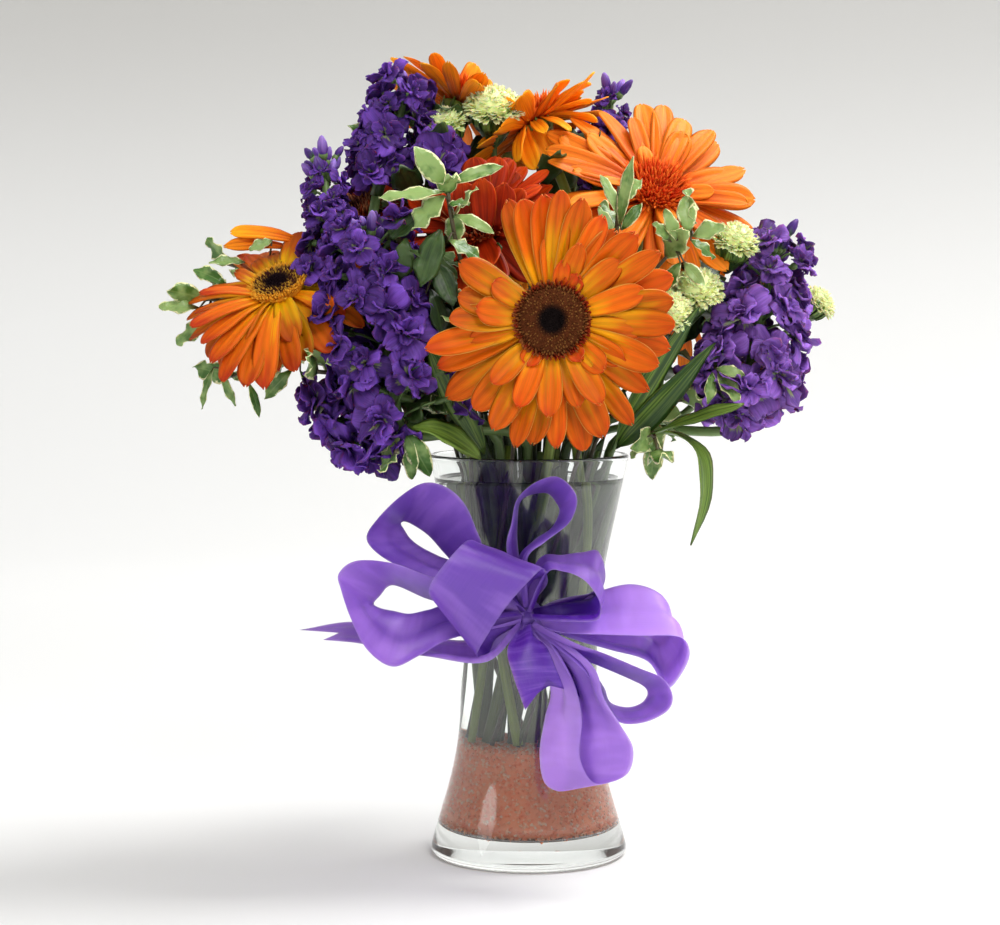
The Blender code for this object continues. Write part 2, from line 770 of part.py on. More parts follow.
def floret(root, out, radius, depth, turn, spread=0.0):
    """Ruffled floret: a funnel from its root to four waved lobes, with an inner crown of petals."""
    level, high = across_axes(out)
    verts = [root - out * spread]
    centre = root + out * depth
    reach = radius + spread
    for i in range(2 * FLORET_LOBES):
        angle = turn + math.pi * i / FLORET_LOBES
        away = level * math.cos(angle) + high * math.sin(angle)
        tip = i % 2 == 0
        ring = reach * (1.0 if tip else FLORET_VALLEY)
        fall = FLORET_TIP_FALL if tip else FLORET_VALLEY_RISE
        verts.append(centre + away * ring + out * (fall + spread * 0.5))
    for i in range(FLORET_LOBES):
        angle = turn + math.tau * (i + 0.5) / FLORET_LOBES
        away = level * math.cos(angle) + high * math.sin(angle)
        verts.append(centre + away * (reach * FLORET_CROWN) + out * (FLORET_CROWN_RISE + spread))
    verts.append(centre + out * (FLORET_THROAT + spread))
    lobes = 2 * FLORET_LOBES
    top = len(verts) - 1
    faces = []
    for i in range(lobes):
        faces.append((0, 1 + (i + 1) % lobes, 1 + i))
    for i in range(FLORET_LOBES):
        inner = 1 + lobes + i
        after = 1 + lobes + (i + 1) % FLORET_LOBES
        tip, valley, following = 1 + 2 * i, 2 + 2 * i, 1 + (2 * i + 2) % lobes
        faces.append((tip, valley, inner))
        faces.append((valley, following, inner))
        faces.append((inner, following, after))
        faces.append((inner, after, top))
    return verts, faces


def stock_core(spike):
    """Core of the spike, thick where the florets are and thin at the buds on its tip."""
    last = len(STOCK_CORE_RADII) - 1
    path = [spike.low.lerp(spike.high, i / last) for i in range(last + 1)]
    return tube(path, STOCK_CORE_RADII, STOCK_CORE_SIDES)


def stock_florets(spike):
    draw = random.Random(spike.seed)
    length = (spike.high - spike.low).length
    level, high = across_axes(spike.axis)
    pieces = []
    for i in range(spike.florets):
        share = (i + 0.5) / spike.florets
        place = spike.low.lerp(spike.high, 0.04 + 0.92 * share)
        size = 1.0 - spike.taper * share ** 2
        turn = GOLDEN_ANGLE * i + draw.uniform(-0.25, 0.25)
        spin = draw.uniform(0, math.tau)
        for swing, shrink in FLORET_MOVES:
            angle = turn + math.radians(swing)
            away = level * math.cos(angle) + high * math.sin(angle)
            out = (away + spike.axis * (0.25 + 0.5 * share)).normalized()
            reach = spike.spread * size * shrink
            radius = min(FLORET_LARGEST, spike.spread * 0.56) * (0.62 + 0.38 * shrink) * size
            spec = (place + out * 1.6, out, radius, reach - 4, spin)
            if CLEAR.room_for(spike.name + "_core", floret, *spec):
                pieces.append(floret(*spec))
                CLEAR.add(spike.name + "_florets", pieces[-1])
                break
    tip = turned(STOCK_TIP, STOCK_CORE_SIDES)
    pieces.append(oriented(tip, spike.low + spike.axis * (length - 2), spike.axis))
    return pieces


def lance_leaf(points, half_width, spread=0.0):
    """Long plain leaf along a curve, its face turned up and out."""
    spine = [bezier(points, share) for share in LANCE_STATIONS]
    sides, ups = [], []
    for point, tangent, _, _ in frames_along(spine):
        away = Vector((point.x, point.y, 60.0)).normalized()
        side = tangent.cross(away).normalized()
        sides.append(side)
        ups.append(side.cross(tangent))
    half_widths = [half_width * width + spread for width in LANCE_WIDTHS]
    return blade(spine, sides, ups, half_widths, LEAF_THICKNESS + 2 * spread)


def stem_start(stem, point):
    """The point of the stem's own path nearest to a place."""
    spots = []
    for low, high in zip(stem.way[1:], stem.way[2:]):
        spots += [low.lerp(high, i / 6) for i in range(6)]
    return min(spots, key=lambda spot: (spot - point).length)


def lance_leaf_on(spike, stem, leaf):
    """A lance leaf from the stem, lifted, lowered or shortened until it is clear."""
    start, middle, end = leaf
    begin = stem_start(stem, Vector(start))
    for scale in LANCE_SCALES:
        for lift in LANCE_LIFTS:
            shift = Vector((0, 0, lift))
            points = (begin,) + tuple(begin.lerp(Vector(point) + shift, scale) for point in (middle, end))
            spec = (points, STOCK_LEAF_HALF_WIDTH * scale)
            if CLEAR.room_for(spike.name, lance_leaf, *spec):
                return lance_leaf(*spec)
    return None


def build_stock(spike, stem, surfaces):
    fused(spike.name + "_florets", [stock_core(spike)] + stock_florets(spike), surfaces["stock"])
    pieces = [stem.rod()]
    for way in spike.leaves:
        leaf = lance_leaf_on(spike, stem, way)
        if leaf:
            pieces.append(leaf)
            CLEAR.add(spike.name, leaf)
    fused(spike.name + "_stem", pieces, surfaces["stock_leaf"])


# Spray carnations

class Spray:
    """A branched stem of small carnations: where it parts and where each bloom faces."""

    def __init__(self, name, fork, blooms):
        self.name = name
        self.fork = Vector(fork)
        self.blooms = blooms


SPRAYS = (
    Spray("carnations_top", (-22, 20, 325), (
        ((-18, -4, 388), 0, 62, 15.0), ((-44, -6, 379), -34, 58, 12.0))),
    Spray("carnations_right", (66, -36, 251), (
        ((104, -28, 319), 28, 60, 12.5), ((84, -38, 295), 10, 48, 13.0), ((69, -54, 284), 20, 40, 12.0))),
    Spray("carnations_side", (88, 22, 241), (
        ((128, 22, 298), 50, 52, 12.0), ((150, 4, 288), 70, 44, 10.0))),
)
CALYX_LENGTH = 15.0
CALYX_SHARE = 0.66
CALYX_SIDES = 5
FRILLS = 8
FRILL_RADIUS = 14.0
FRILL_FOOT = 9.0
FRILL_CROWN = 9.0

# Ways to bend a branch clear: pull along the bloom's axis, and shift to the back.
BRANCH_PULLS = (0.35, 0.2, 0.5, 0.65)
BRANCH_SHIFTS = (0, 6, -6, 12, -12, 18)

# Rows of a bloom of the frill radius: radius, height, and 1 where the row is a waved edge.
FRILL_ROWS = (
    (8.4, -FRILL_FOOT, 0), (13.6, 0.0, 1), (9.0, 2.4, 0), (10.0, 6.2, 1), (5.4, 6.8, 0), (5.8, 9.6, 1),
)


def carnation_bloom(centre, axis, radius, seed, spread=0.0):
    """Fringed bloom: three waved frills one above another on a narrow foot."""
    draw = random.Random(seed)
    size = radius / FRILL_RADIUS
    verts, rings = [], []
    for reach, height, wave in FRILL_ROWS:
        rings.append(list(range(len(verts), len(verts) + FRILLS)))
        for i in range(FRILLS):
            angle = math.tau * (i + 0.25 * wave) / FRILLS
            ripple = wave * (1 if i % 2 else -1)
            ring = reach * (1 + 0.13 * ripple + 0.06 * wave * draw.uniform(-1, 1)) * size + spread * wave
            lift = (height + ripple) * size
            verts.append(Vector((ring * math.cos(angle), ring * math.sin(angle), lift)))
    rings.append([len(verts)] * FRILLS)
    verts.append(Vector((0, 0, FRILL_CROWN * size + spread)))
    return oriented((verts, ring_faces(rings) + end_faces(rings)), centre, axis)


def calyx(centre, axis, radius):
    """Green cup that holds the petals' foot."""
    top = -FRILL_FOOT * radius / FRILL_RADIUS - CLEARANCE
    wide = CALYX_SHARE * radius
    rows = [(1.8, top - CALYX_LENGTH), (wide * 0.7, top - CALYX_LENGTH * 0.6), (wide, top)]
    return oriented(turned(rows, CALYX_SIDES), centre, axis)


def branch_path(spray, start, foot, axis):
    """Curve from the fork to a calyx, bent until a rod along it is clear."""
    span = (foot - start).length
    radius, sides = BRANCH
    for pull in BRANCH_PULLS:
        for shift in BRANCH_SHIFTS:
            points = (start, start + Vector((0, shift, span * 0.3)), foot - axis * span * pull, foot)
            path = [bezier(points, i / 3) for i in range(4)]
            if not CLEAR.touches(spray.name, tube(path, [radius + SEARCH_MARGIN] * 4, sides)):
                return path
    return path


def spray_branches(spray, stem):
    """Branch rods and calyxes from the fork to the blooms."""
    pieces = []
    radius, sides = BRANCH
    for centre, azimuth, elevation, size in spray.blooms:
        axis = facing(azimuth, elevation)
        foot = Vector(centre) - axis * (FRILL_FOOT * size / FRILL_RADIUS + CLEARANCE + CALYX_LENGTH - 1)
        path = branch_path(spray, stem.way[-2], foot, axis)
        branch = tube(path, [radius] * len(path), sides)
        pieces += [branch, calyx(Vector(centre), axis, size)]
        CLEAR.add(spray.name, branch)
    return pieces


# Pittosporum

class Sprig:
    """A twig: where it ends, which way it grows there, its leaves, their run and any side twigs."""

    def __init__(self, name, tip, azimuth, elevation, leaves, leafy, side_tips, seed):
        self.name = name
        self.tip = Vector(tip)
        self.axis = facing(azimuth, elevation)
        self.leaves = leaves
        self.leafy = leafy
        self.side_tips = side_tips
        self.seed = seed


SPRIGS = (
    Sprig("pittosporum_middle", (-40, -74, 347), -10, 70, 8, 76, ((-14, 16, 349),), 31),
    Sprig("pittosporum_right", (44, -64, 343), 10, 75, 7, 70, ((80, -52, 321),), 32),
    Sprig("pittosporum_left", (-178, -24, 291), -80, 8, 7, 96, ((-156, -6, 307), (-152, -14, 249)), 33),
    Sprig("pittosporum_top_left", (-78, 4, 371), -50, 50, 6, 60, (), 34),
    Sprig("pittosporum_low_left", (-106, -62, 253), -50, 5, 6, 73, ((-66, -72, 211),), 35),
    Sprig("pittosporum_low_right", (106, -38, 243), 60, 12, 6, 70, ((64, -54, 213),), 36),
)
SIDE_TWIG_LEAVES = (4, 48)
PITTOSPORUM_LEAF = (21.0, 6.2)

# Ways to bend a side twig clear: shift of its middle to the back, and rise by share of its span.
TWIG_SHIFTS = (0, -8, 8, -16, 16, -26)
TWIG_RISES = (0.12, 0.0, 0.25, -0.1, -0.2)

# Ways to make room for a leaf: degrees round the twig, degrees away from it, and share of its size.
LEAF_MOVES = (
    (0, 0, 1.0), (25, 0, 1.0), (-25, 0, 1.0), (0, 22, 1.0), (0, -22, 1.0), (45, 12, 0.9), (-45, 12, 0.9),
    (0, 0, 0.75), (70, 0, 0.8), (-70, 0, 0.8), (90, 20, 0.65), (-90, -20, 0.65), (0, 40, 0.6),
    (180, 0, 0.7), (140, 20, 0.6), (-140, -20, 0.6),
)


def waved_leaf(root, along, face, length, half_width, wave, spread=0.0):
    """Small leaf with a waved edge: one side lifts where the other falls, then they change over."""
    side = along.cross(face).normalized()
    up = side.cross(along).normalized()
    length += 2 * spread
    spine = [root, root + along * length * 0.34 + up * length * 0.05,
             root + along * length * 0.7 + up * length * 0.05, root + along * length]
    half_widths = [0, half_width * 0.86 + spread, half_width + spread, 0]
    return blade(spine, [side] * 4, [up] * 4, half_widths, LEAF_THICKNESS + 2 * spread,
                 waves=[0, wave, -wave, 0])


def back_along(path, distance):
    """Point on a path a distance back from its end, and the path's direction there."""
    for low, high in zip(reversed(path[:-1]), reversed(path[1:])):
        span = (high - low).length
        if distance <= span:
            return high.lerp(low, distance / span), (high - low).normalized()
        distance -= span
    return path[0], (path[1] - path[0]).normalized()


def leaf_places(path, count, leafy, draw):
    """(point, tangent, turn, lean) for leaves up a twig, each a golden angle on and more upright."""
    places = []
    for i in range(count):
        share = (i + 0.6) / count
        point, tangent = back_along(path, leafy * (1 - share))
        lean = math.radians(draw.uniform(52, 68) - 34 * share)
        places.append((point, tangent, GOLDEN_ANGLE * i + draw.uniform(-0.3, 0.3), lean))
    return places


def leaf_on(sprig, place, draw):
    """One leaf on its twig, swung or shortened until it is clear; None where there is no room."""
    point, tangent, turn, lean = place
    level, high = across_axes(tangent)
    length = PITTOSPORUM_LEAF[0] * draw.uniform(0.85, 1.15)
    wave = draw.choice((-1, 1)) * draw.uniform(0.8, 1.5)
    for swing, tilt, scale in LEAF_MOVES:
        angle = turn + math.radians(swing)
        away = level * math.cos(angle) + high * math.sin(angle)
        bent = lean + math.radians(tilt)
        along = tangent * math.cos(bent) + away * math.sin(bent)
        face = (tangent * math.sin(bent) - away * math.cos(bent) + Vector((0, 0, 0.35))).normalized()
        spec = (point, along, face, length * scale, PITTOSPORUM_LEAF[1] * scale, wave)
        if CLEAR.room_for(sprig.name, waved_leaf, *spec):
            return waved_leaf(*spec)
    return None


def side_twig_path(sprig, start, tip):
    """Arched path to a side twig's tip, bent another way until a rod along it is clear."""
    span = tip - start
    radius, sides = SIDE_TWIG
    for shift in TWIG_SHIFTS:
        for rise in TWIG_RISES:
            middle = start + span * 0.5 + Vector((0, shift, span.length * rise))
            path = [bezier((start, middle, tip), i / 4) for i in range(5)]
            if not CLEAR.touches(sprig.name, tube(path, [radius + SEARCH_MARGIN] * 5, sides)):
                return path
    return None


def build_sprig(sprig, stem, surfaces):
    draw = random.Random(sprig.seed)
    twigs = [(stem.way, sprig.leaves, sprig.leafy)]
    pieces = [stem.rod()]
    radius, sides = SIDE_TWIG
    for tip in sprig.side_tips:
        path = side_twig_path(sprig, stem.way[3], Vector(tip))
        if path is None:
            continue
        side_twig = tube(path, [radius] * len(path), sides)
        pieces.append(side_twig)
        CLEAR.add(sprig.name, side_twig)
        twigs.append((path, *SIDE_TWIG_LEAVES))
    for path, count, leafy in twigs:
        for place in leaf_places(path, count, leafy, draw):
            leaf = leaf_on(sprig, place, draw)
            if leaf:
                pieces.append(leaf)
                CLEAR.add(sprig.name + "_leaves", leaf)
    fused(sprig.name, pieces, surfaces["pittosporum"])


# Ribbon

# Each strand: points of its middle line, and from each the way and distance to one of its edges.
BOW = {
    "upper_left_loop": (
        ((-1, -49, 135), (-1.7, -5.2, 2.1)), ((-26, -60, 158), (6, -14.5, 6)),
        ((-40, -70, 180), (9.3, -14.9, 9.1)), ((-48, -72, 187), (8.4, -14.5, 10.7)),
        ((-56, -70, 189), (5.4, -15.8, 10.8)), ((-63, -68, 185), (0.7, -17.8, 8.1)),
        ((-69, -64, 171), (-9.9, -15.6, 1.7)), ((-64, -62, 165), (-10.2, -15.4, 0.1)),
        ((-41, -58, 153), (-5.9, -14.3, -2.4)), ((-3, -49, 135), (-1.7, -5.3, -0.6)),
    ),
    "lower_left_loop": (
        ((-2, -50, 133), (-0.5, -5.5, 2.2)), ((-36, -64, 144), (1.9, -15.1, 7.4)),
        ((-65, -76, 154), (-0.7, -18, 7.8)), ((-76, -80, 155), (-6.7, -16.2, 8.1)),
        ((-83, -83, 144), (-6.7, -17, 5.2)), ((-79, -84, 136), (-5.8, -17.4, -0.7)),
        ((-72, -84, 128), (-5.3, -15.1, -7.6)), ((-51, -76, 126), (-1.3, -15.3, -9.1)),
        ((-38, -68, 130), (0, -14.9, -6.4)), ((-3, -50, 131), (-1, -5.3, -1.1)),
    ),
    "left_tail": (
        ((-4, -50, 128), (0.5, -4.8, -2.3)), ((-23, -60, 115), (2.5, -13.8, -3.9)),
        ((-47, -66, 117), (-0.7, -18.4, -2)), ((-65, -68, 120), (1, -18.5, -1.8)),
        ((-85, -70, 125), (2.8, -18.2, -2.9)), ((-107, -72, 124), (7.5, -17.9, 0)),
    ),
    "top_loop": (
        ((-2, -50, 137), (-1.7, -5.4, 1.2)), ((-8, -62, 164), (-2.8, -14.9, 1.5)),
        ((-5, -72, 190), (-0.7, -19, 2.2)), ((11, -76, 198), (2, -18.4, 5.5)),
        ((17, -76, 193), (3.6, -18.2, 5)), ((15, -74, 178), (4.1, -18.5, 2.9)),
        ((5, -70, 170), (2.6, -17.8, 1.2)), ((-3, -62, 160), (2, -15.1, 1.6)),
        ((-1, -50, 136), (1, -5.6, 0.2)),
    ),
    "upper_right_loop": (
        ((-1, -50, 135), (-0.2, -5.2, -1.6)), ((7, -62, 157), (1.1, -15.8, -1.5)),
        ((27, -72, 158), (0.1, -17.6, -5.2)), ((34, -74, 154), (-0.4, -15, -10)),
        ((36, -72, 145), (-1, -16.7, -7)), ((32, -68, 138), (0.5, -17.6, -4.9)),
        ((12, -58, 134), (0.6, -12.3, -3.4)), ((2, -50, 131), (0, -5.3, -1.3)),
    ),
    "right_loop": (
        ((3, -50, 130), (0, -4.9, -2.4)), ((19, -60, 131), (-1.2, -14.3, -5.5)),
        ((51, -74, 137), (1.8, -14, -10.9)), ((66, -76, 136), (6, -13.2, -10.2)),
        ((72, -74, 130), (5.8, -12.6, -11)), ((66, -62, 111), (1.3, -11.8, -13)),
        ((57, -58, 118), (1.2, -16.7, -6.5)), ((21, -54, 124), (0.3, -10.6, -2.8)),
        ((3, -49, 129), (0, -5.3, -1.3)),
    ),
    "lower_right_loop": (
        ((2, -50, 126), (0.7, -5.3, 2.7)), ((21, -60, 116), (1, -14.9, 5)),
        ((52, -72, 105), (1.1, -18.7, 5.8)),
        ((61, -75, 101), (3.4, -18.4, 5.1)), ((64, -76, 95), (5.3, -17.9, 2.7)),
        ((52, -73, 85), (3.3, -18.1, -0.8)), ((42, -70, 86), (1.3, -18.3, -1.8)),
        ((28, -60, 106), (-1.8, -15.1, 1.8)), ((4, -50, 125), (-1.8, -5.3, -0.3)),
    ),
    "bottom_loop": (
        ((1, -51, 127), (-4, 4.1, -1)), ((22, -66, 110), (-8.6, 12.3, -0.6)),
        ((29, -74, 95), (-7.4, 16.2, -0.7)), ((34, -82, 82), (-10.1, 15.8, -2.2)),
        ((37, -88, 71), (-13, 13.4, -2.7)), ((28, -82, 51), (-11, 15.1, -5.2)),
        ((19, -74, 52), (-11.2, 15.2, -3.5)), ((15, -68, 65), (-9.6, 16.3, -2.3)),
        ((16, -60, 99), (-5.2, 14.2, -2.7)), ((1, -50, 126), (-3, 4.8, -1.6)),
    ),
    "lower_tail": (
        ((1, -54, 126), (-5.4, -3.8, 0)), ((4, -62, 117), (-14.5, -9, -0.2)),
        ((9, -68, 103), (-16.2, -10, 0.6)),
        ((14, -72, 89), (-15.7, -10.7, -0.2)),
    ),
    "front_loop": (
        ((-1, -50, 135), (-3, -4.2, -2)), ((-7, -64, 155), (-15.7, 0, 7.4)),
        ((-11, -84, 165), (-17.6, -1.8, 7.2)), ((-16, -95, 162), (-16.9, -3.5, 8.2)),
        ((-26, -100, 151), (-15.8, -5.5, 9.4)), ((-33, -97, 140), (-14.1, -6.1, 11.7)),
        ((-36, -86, 130), (-10.8, -7.1, 14.7)), ((-29, -74, 125), (-8.9, -12.1, 13.1)),
        ((-18, -62, 126), (-6.2, -13, 8.9)), ((-4, -50, 131), (-1.5, -4.9, 3.1)),
    ),
}
KNOT_FRONT = outline_radius(BAND_HEIGHT) + 2 * CLEARANCE + BAND_THICKNESS + KNOT_SIZE[1]


def ribbon_strand(controls, steps):
    """Flat strip of even thickness along a smooth path, its width turning with the path."""
    line = smooth_path([point for point, _ in controls], steps)
    edges = smooth_path([way for _, way in controls], steps)
    verts, rings = [], []
    for (point, tangent, _, _), edge in zip(frames_along(line), edges):
        up = tangent.cross(edge).normalized()
        rings.append(list(range(len(verts), len(verts) + 4)))
        for across, above in ((1, 1), (-1, 1), (-1, -1), (1, -1)):
            verts.append(point + edge * across + up * (RIBBON_THICKNESS / 2 * above))
    return verts, ring_faces(rings, STRIP_FLIPS) + end_faces(rings)


def knot():
    """Gathered middle of the bow, a clearance in front of the band."""
    rows = [(0, -1.0), (0.72, -0.7), (1.0, 0.0), (0.72, 0.7), (0, 1.0)]
    verts, faces = turned(rows, 10)
    centre = Vector((0.0, -KNOT_FRONT, KNOT_HEIGHT))
    width, depth, height = KNOT_SIZE
    return [centre + Vector((v.x * width, v.y * depth, v.z * height)) for v in verts], faces


def build_ribbon(surface):
    pieces = [knot()] + [ribbon_strand(strand, BOW_STEPS) for strand in BOW.values()]
    for piece in pieces:
        CLEAR.add("ribbon_bow", piece)
    fused("ribbon_bow", pieces, surface)
    low, high = BAND_HEIGHT - BAND_WIDTH / 2, BAND_HEIGHT + BAND_WIDTH / 2
    inside_low, inside_high = outline_radius(low) + BAND_GAP, outline_radius(high) + BAND_GAP
    rows = [(inside_low, low), (inside_low + BAND_THICKNESS, low)]
    rows += [(inside_high + BAND_THICKNESS, high), (inside_high, high)]
    band = turned(rows, VASE_SIDES, closed=True)
    solid("ribbon_band", band, surface)
    CLEAR.add("ribbon_band", band)


# The whole bouquet

def plan_stems():
    """Every stem, with its place in the bunch."""
    stems = {}
    for flower in GERBERAS:
        stems[flower.name] = Stem(flower.name, *GERBERA_STEM, flower.stem_base(), flower.axis)
    for spike in STOCKS:
        foot = spike.low - spike.axis * CLEARANCE
        stems[spike.name] = Stem(spike.name, *STOCK_STEM, foot, spike.axis)
    for spray in SPRAYS:
        stems[spray.name] = Stem(spray.name, *SPRAY_STEM, spray.fork, Vector((0, 0, 1)))
    for sprig in SPRIGS:
        stems[sprig.name] = Stem(sprig.name, *TWIG, sprig.tip, sprig.axis, 0.5)
    give_slots(list(stems.values()))
    return stems


def place_heads():
    """The fixed middles of the heads, which every stem and leaf then keeps clear of."""
    for flower in GERBERAS:
        CLEAR.add(flower.name + "_petals", gerbera_plate(flower))
        CLEAR.add(flower.name + "_eye", gerbera_eye(flower))
        CLEAR.add(flower.name, gerbera_cup(flower))
    for spike in STOCKS:
        CLEAR.add(spike.name + "_core", stock_core(spike))
    for spray in SPRAYS:
        for i, (centre, azimuth, elevation, radius) in enumerate(spray.blooms):
            axis = facing(azimuth, elevation)
            CLEAR.add(spray.name + "_blooms", carnation_bloom(Vector(centre), axis, radius, i + 1))
            CLEAR.add(spray.name, calyx(Vector(centre), axis, radius))


def main():
    for item in list(bpy.data.objects):
        bpy.data.objects.remove(item)
    glass = material("glass", (0.95, 0.97, 0.97), 0.02, transmission=1.0)
    satin = material("satin_ribbon", (0.20, 0.09, 0.55), 0.32)
    surfaces = {
        "eye": material("gerbera_eye", (0.12, 0.04, 0.02), 0.8),
        "stem": material("gerbera_stem", (0.16, 0.27, 0.05), 0.5),
        "stock": material("stock_floret", (0.11, 0.04, 0.33), 0.6),
        "stock_leaf": material("stock_leaf", (0.12, 0.26, 0.06), 0.5),
        "carnation": material("carnation", (0.75, 0.82, 0.38), 0.6),
        "carnation_stem": material("carnation_stem", (0.14, 0.25, 0.10), 0.5),
        "pittosporum": material("pittosporum_leaf", (0.30, 0.42, 0.22), 0.45),
    }
    build_vase(glass)
    build_ribbon(satin)
    place_heads()
    stems = plan_stems()
    for stem in stems.values():
        stem.way = clear_stem(stem, STEM_STEPS)
        CLEAR.add(stem.name, stem.rod())
    runs = list(stems.values())
    build_gravel(material("gravel", (0.60, 0.20, 0.12), 0.85))
    build_water(runs, material("water", (0.9, 0.95, 0.95), 0.02, transmission=1.0))
    for flower in GERBERAS:
        build_gerbera(flower, stems[flower.name], surfaces)
    for spray in SPRAYS:
        stem = stems[spray.name]
        branches = spray_branches(spray, stem)
        fused(spray.name + "_stem", [stem.rod(-1)] + branches, surfaces["carnation_stem"])
        for i, (centre, azimuth, elevation, radius) in enumerate(spray.blooms):
            bloom = carnation_bloom(Vector(centre), facing(azimuth, elevation), radius, i + 1)
            solid(f"{spray.name}_bloom_{i + 1}", bloom, surfaces["carnation"])
    for spike in STOCKS:
        build_stock(spike, stems[spike.name], surfaces)
    for sprig in SPRIGS:
        build_sprig(sprig, stems[sprig.name], surfaces)


main()
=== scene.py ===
"""Looks of a mixed bouquet in a concave glass vase: petals, florets, leaves, satin, glass and gravel.

Tables and shape functions are in millimetres and degrees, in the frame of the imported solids: the
origin is the middle of the vase's foot, +Z is up and the bow faces -Y. Skin.make scales a finished
piece to metres. The camera, the stage and the lights are in metres from the start.
"""

import math
import random
from collections import namedtuple

import bpy
import numpy as np
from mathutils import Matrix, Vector


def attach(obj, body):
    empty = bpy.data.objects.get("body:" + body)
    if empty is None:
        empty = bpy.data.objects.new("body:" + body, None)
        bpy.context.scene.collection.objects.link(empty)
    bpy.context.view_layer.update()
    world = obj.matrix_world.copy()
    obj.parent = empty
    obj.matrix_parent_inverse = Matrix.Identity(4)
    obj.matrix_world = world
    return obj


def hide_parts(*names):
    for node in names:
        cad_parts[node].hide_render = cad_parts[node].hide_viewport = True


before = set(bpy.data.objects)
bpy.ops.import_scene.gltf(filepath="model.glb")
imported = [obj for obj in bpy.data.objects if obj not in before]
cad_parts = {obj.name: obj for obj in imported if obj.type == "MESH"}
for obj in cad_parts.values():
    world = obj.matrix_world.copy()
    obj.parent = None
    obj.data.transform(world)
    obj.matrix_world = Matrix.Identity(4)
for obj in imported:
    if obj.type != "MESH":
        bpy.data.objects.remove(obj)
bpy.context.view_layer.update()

MM = 0.001
UP = Vector((0, 0, 1))
GOLDEN_ANGLE = math.radians(137.508)

# The photo's view: its frame, focal length, horizon and the vase's axis, in pixels.
PHOTO_WIDTH, PHOTO_HEIGHT = 1000, 925
PHOTO_FOCAL = 2400.0
PHOTO_AXIS_X = 529.0
PHOTO_HORIZON_Y = 310.0
CAMERA_DISTANCE = 1.24
CAMERA_HEIGHT = 0.283
SENSOR_WIDTH = 36.0

VASE_HEIGHT = 208.0
VASE_SIDES = 120
GLASS_WALL = 2.8
GLASS_FLOOR = 13.0
VASE_OUTLINE = (
    (4.0, 51.0), (16.0, 47.8), (27.0, 44.5), (38.0, 41.4), (49.0, 38.9), (60.0, 37.0), (74.0, 35.8),
    (101.0, 35.5), (125.0, 36.8), (149.0, 39.2), (182.0, 46.0), (208.0, 51.6),
)
HEEL = ((0, 1.6), (30.0, 1.2), (44.0, 0.3), (46.5, 0.0), (48.8, 0.5), (50.3, 1.8), (50.9, 3.4))
# The round lip: distances out from the rim's edge and up from its height.
LIP = ((0.12, -0.2), (-0.35, 0.55), (-1.4, 0.9), (-2.45, 0.55), (-2.85, -0.2))
# The round corner between the inner wall and the floor: distance in from the wall, and height.
INNER_CORNER = ((8.0, 13.0), (4.5, 13.7), (2.0, 15.0), (0.6, 17.0))
CORNER_TOP = 18.0
HEEL_TOP, WALL_FOOT, LIP_FOOT = 5, 20, 207
GRAVEL_TOP = 60.0
WALL_CHIPS, TOP_CHIPS = 4200, 2300
WATER_TOP = 196.0
WATER_CREEP = 1.2
WATER_OVERLAP = 0.08
# The water's raised edge: distance in from the wall, and height over its level.
WATER_EDGE = ((0.7, 0.5), (1.8, 0.1), (3.5, 0))

STEM_FOOT_HEIGHT = 60.3
STEM_RIM_HEIGHT = 205.0
BUNCH_FOOT_RADIUS = 29.0
BUNCH_RIM_RADIUS = 41.0
BUNCH_TWIST = math.radians(78.0)
STEM_LEAN = 0.34
SLOT_ROUNDS = 12
RIM_ROOM = 4.0
STRAIGHT_POINTS = 9
CURVE_STEPS = 14
GERBERA_STEM, STOCK_STEM, SPRAY_STEM, TWIG_STEM = 2.7, 2.5, 2.0, 1.4
CLEARANCE = 0.3

GERBERA_PLATE = 4.4
GERBERA_CUP_DEPTH = 9.0
GERBERA_PLATE_SHARE = 0.86
CALYX_LENGTH = 15.0
FRILL_FOOT = 9.0
FRILL_RADIUS = 14.0

RIBBON_WIDTH = 38.0
RIBBON_THREADS = 110
RIBBON_CLOTH = 0.35
BAND_HEIGHT = 126.0
BAND_WIDTH = 12.0
BAND_GAP, BAND_CLOTH, BAND_FOLD = 0.45, 0.8, 0.35
KNOT_SIZE = (8.0, 6.5, 10.0)
KNOT_HEIGHT = 128.0
KNOT_GAP = 1.8

# Petal and leaf outlines: width at the foot, place of the widest part, roundness and least width.
RAY = (0.42, 0.66)
DISC_FRILL = (0.6, 0.6)
CUP_BRACT = (0.7, 0.3, 1.2)
FLORET_PETAL = (0.12, 0.68, 2.2, 0.2)
TOOTHED = (0.3, 0.8, 3.0, 0.55)
CALYX_BRACT = (0.6, 0.35, 1.3, 0.1)
WAVY_LEAF = (0.12, 0.5, 1.5, 0.08)
PETAL_THICKNESS = 0.6
FLORET_THICKNESS = 0.45
FRILL_THICKNESS = 0.3
FRINGE_THICKNESS = 0.35
BRACT_THICKNESS = 0.4
LEAF_THICKNESS = 0.5
LANCE_THICKNESS = 0.55


# Camera

def set_camera():
    data = bpy.data.cameras.new("photo_view")
    data.sensor_width = SENSOR_WIDTH
    data.lens = PHOTO_FOCAL * SENSOR_WIDTH / PHOTO_WIDTH
    camera = bpy.data.objects.new("photo_view", data)
    pitch = math.atan((PHOTO_HEIGHT / 2 - PHOTO_HORIZON_Y) / PHOTO_FOCAL)
    yaw = math.atan((PHOTO_AXIS_X - PHOTO_WIDTH / 2) / PHOTO_FOCAL)
    camera.location = (0, -CAMERA_DISTANCE, CAMERA_HEIGHT)
    camera.rotation_euler = (math.pi / 2 - pitch, 0, yaw)
    bpy.context.scene.collection.objects.link(camera)
    bpy.context.scene.camera = camera


set_camera()


# Vectors and curves

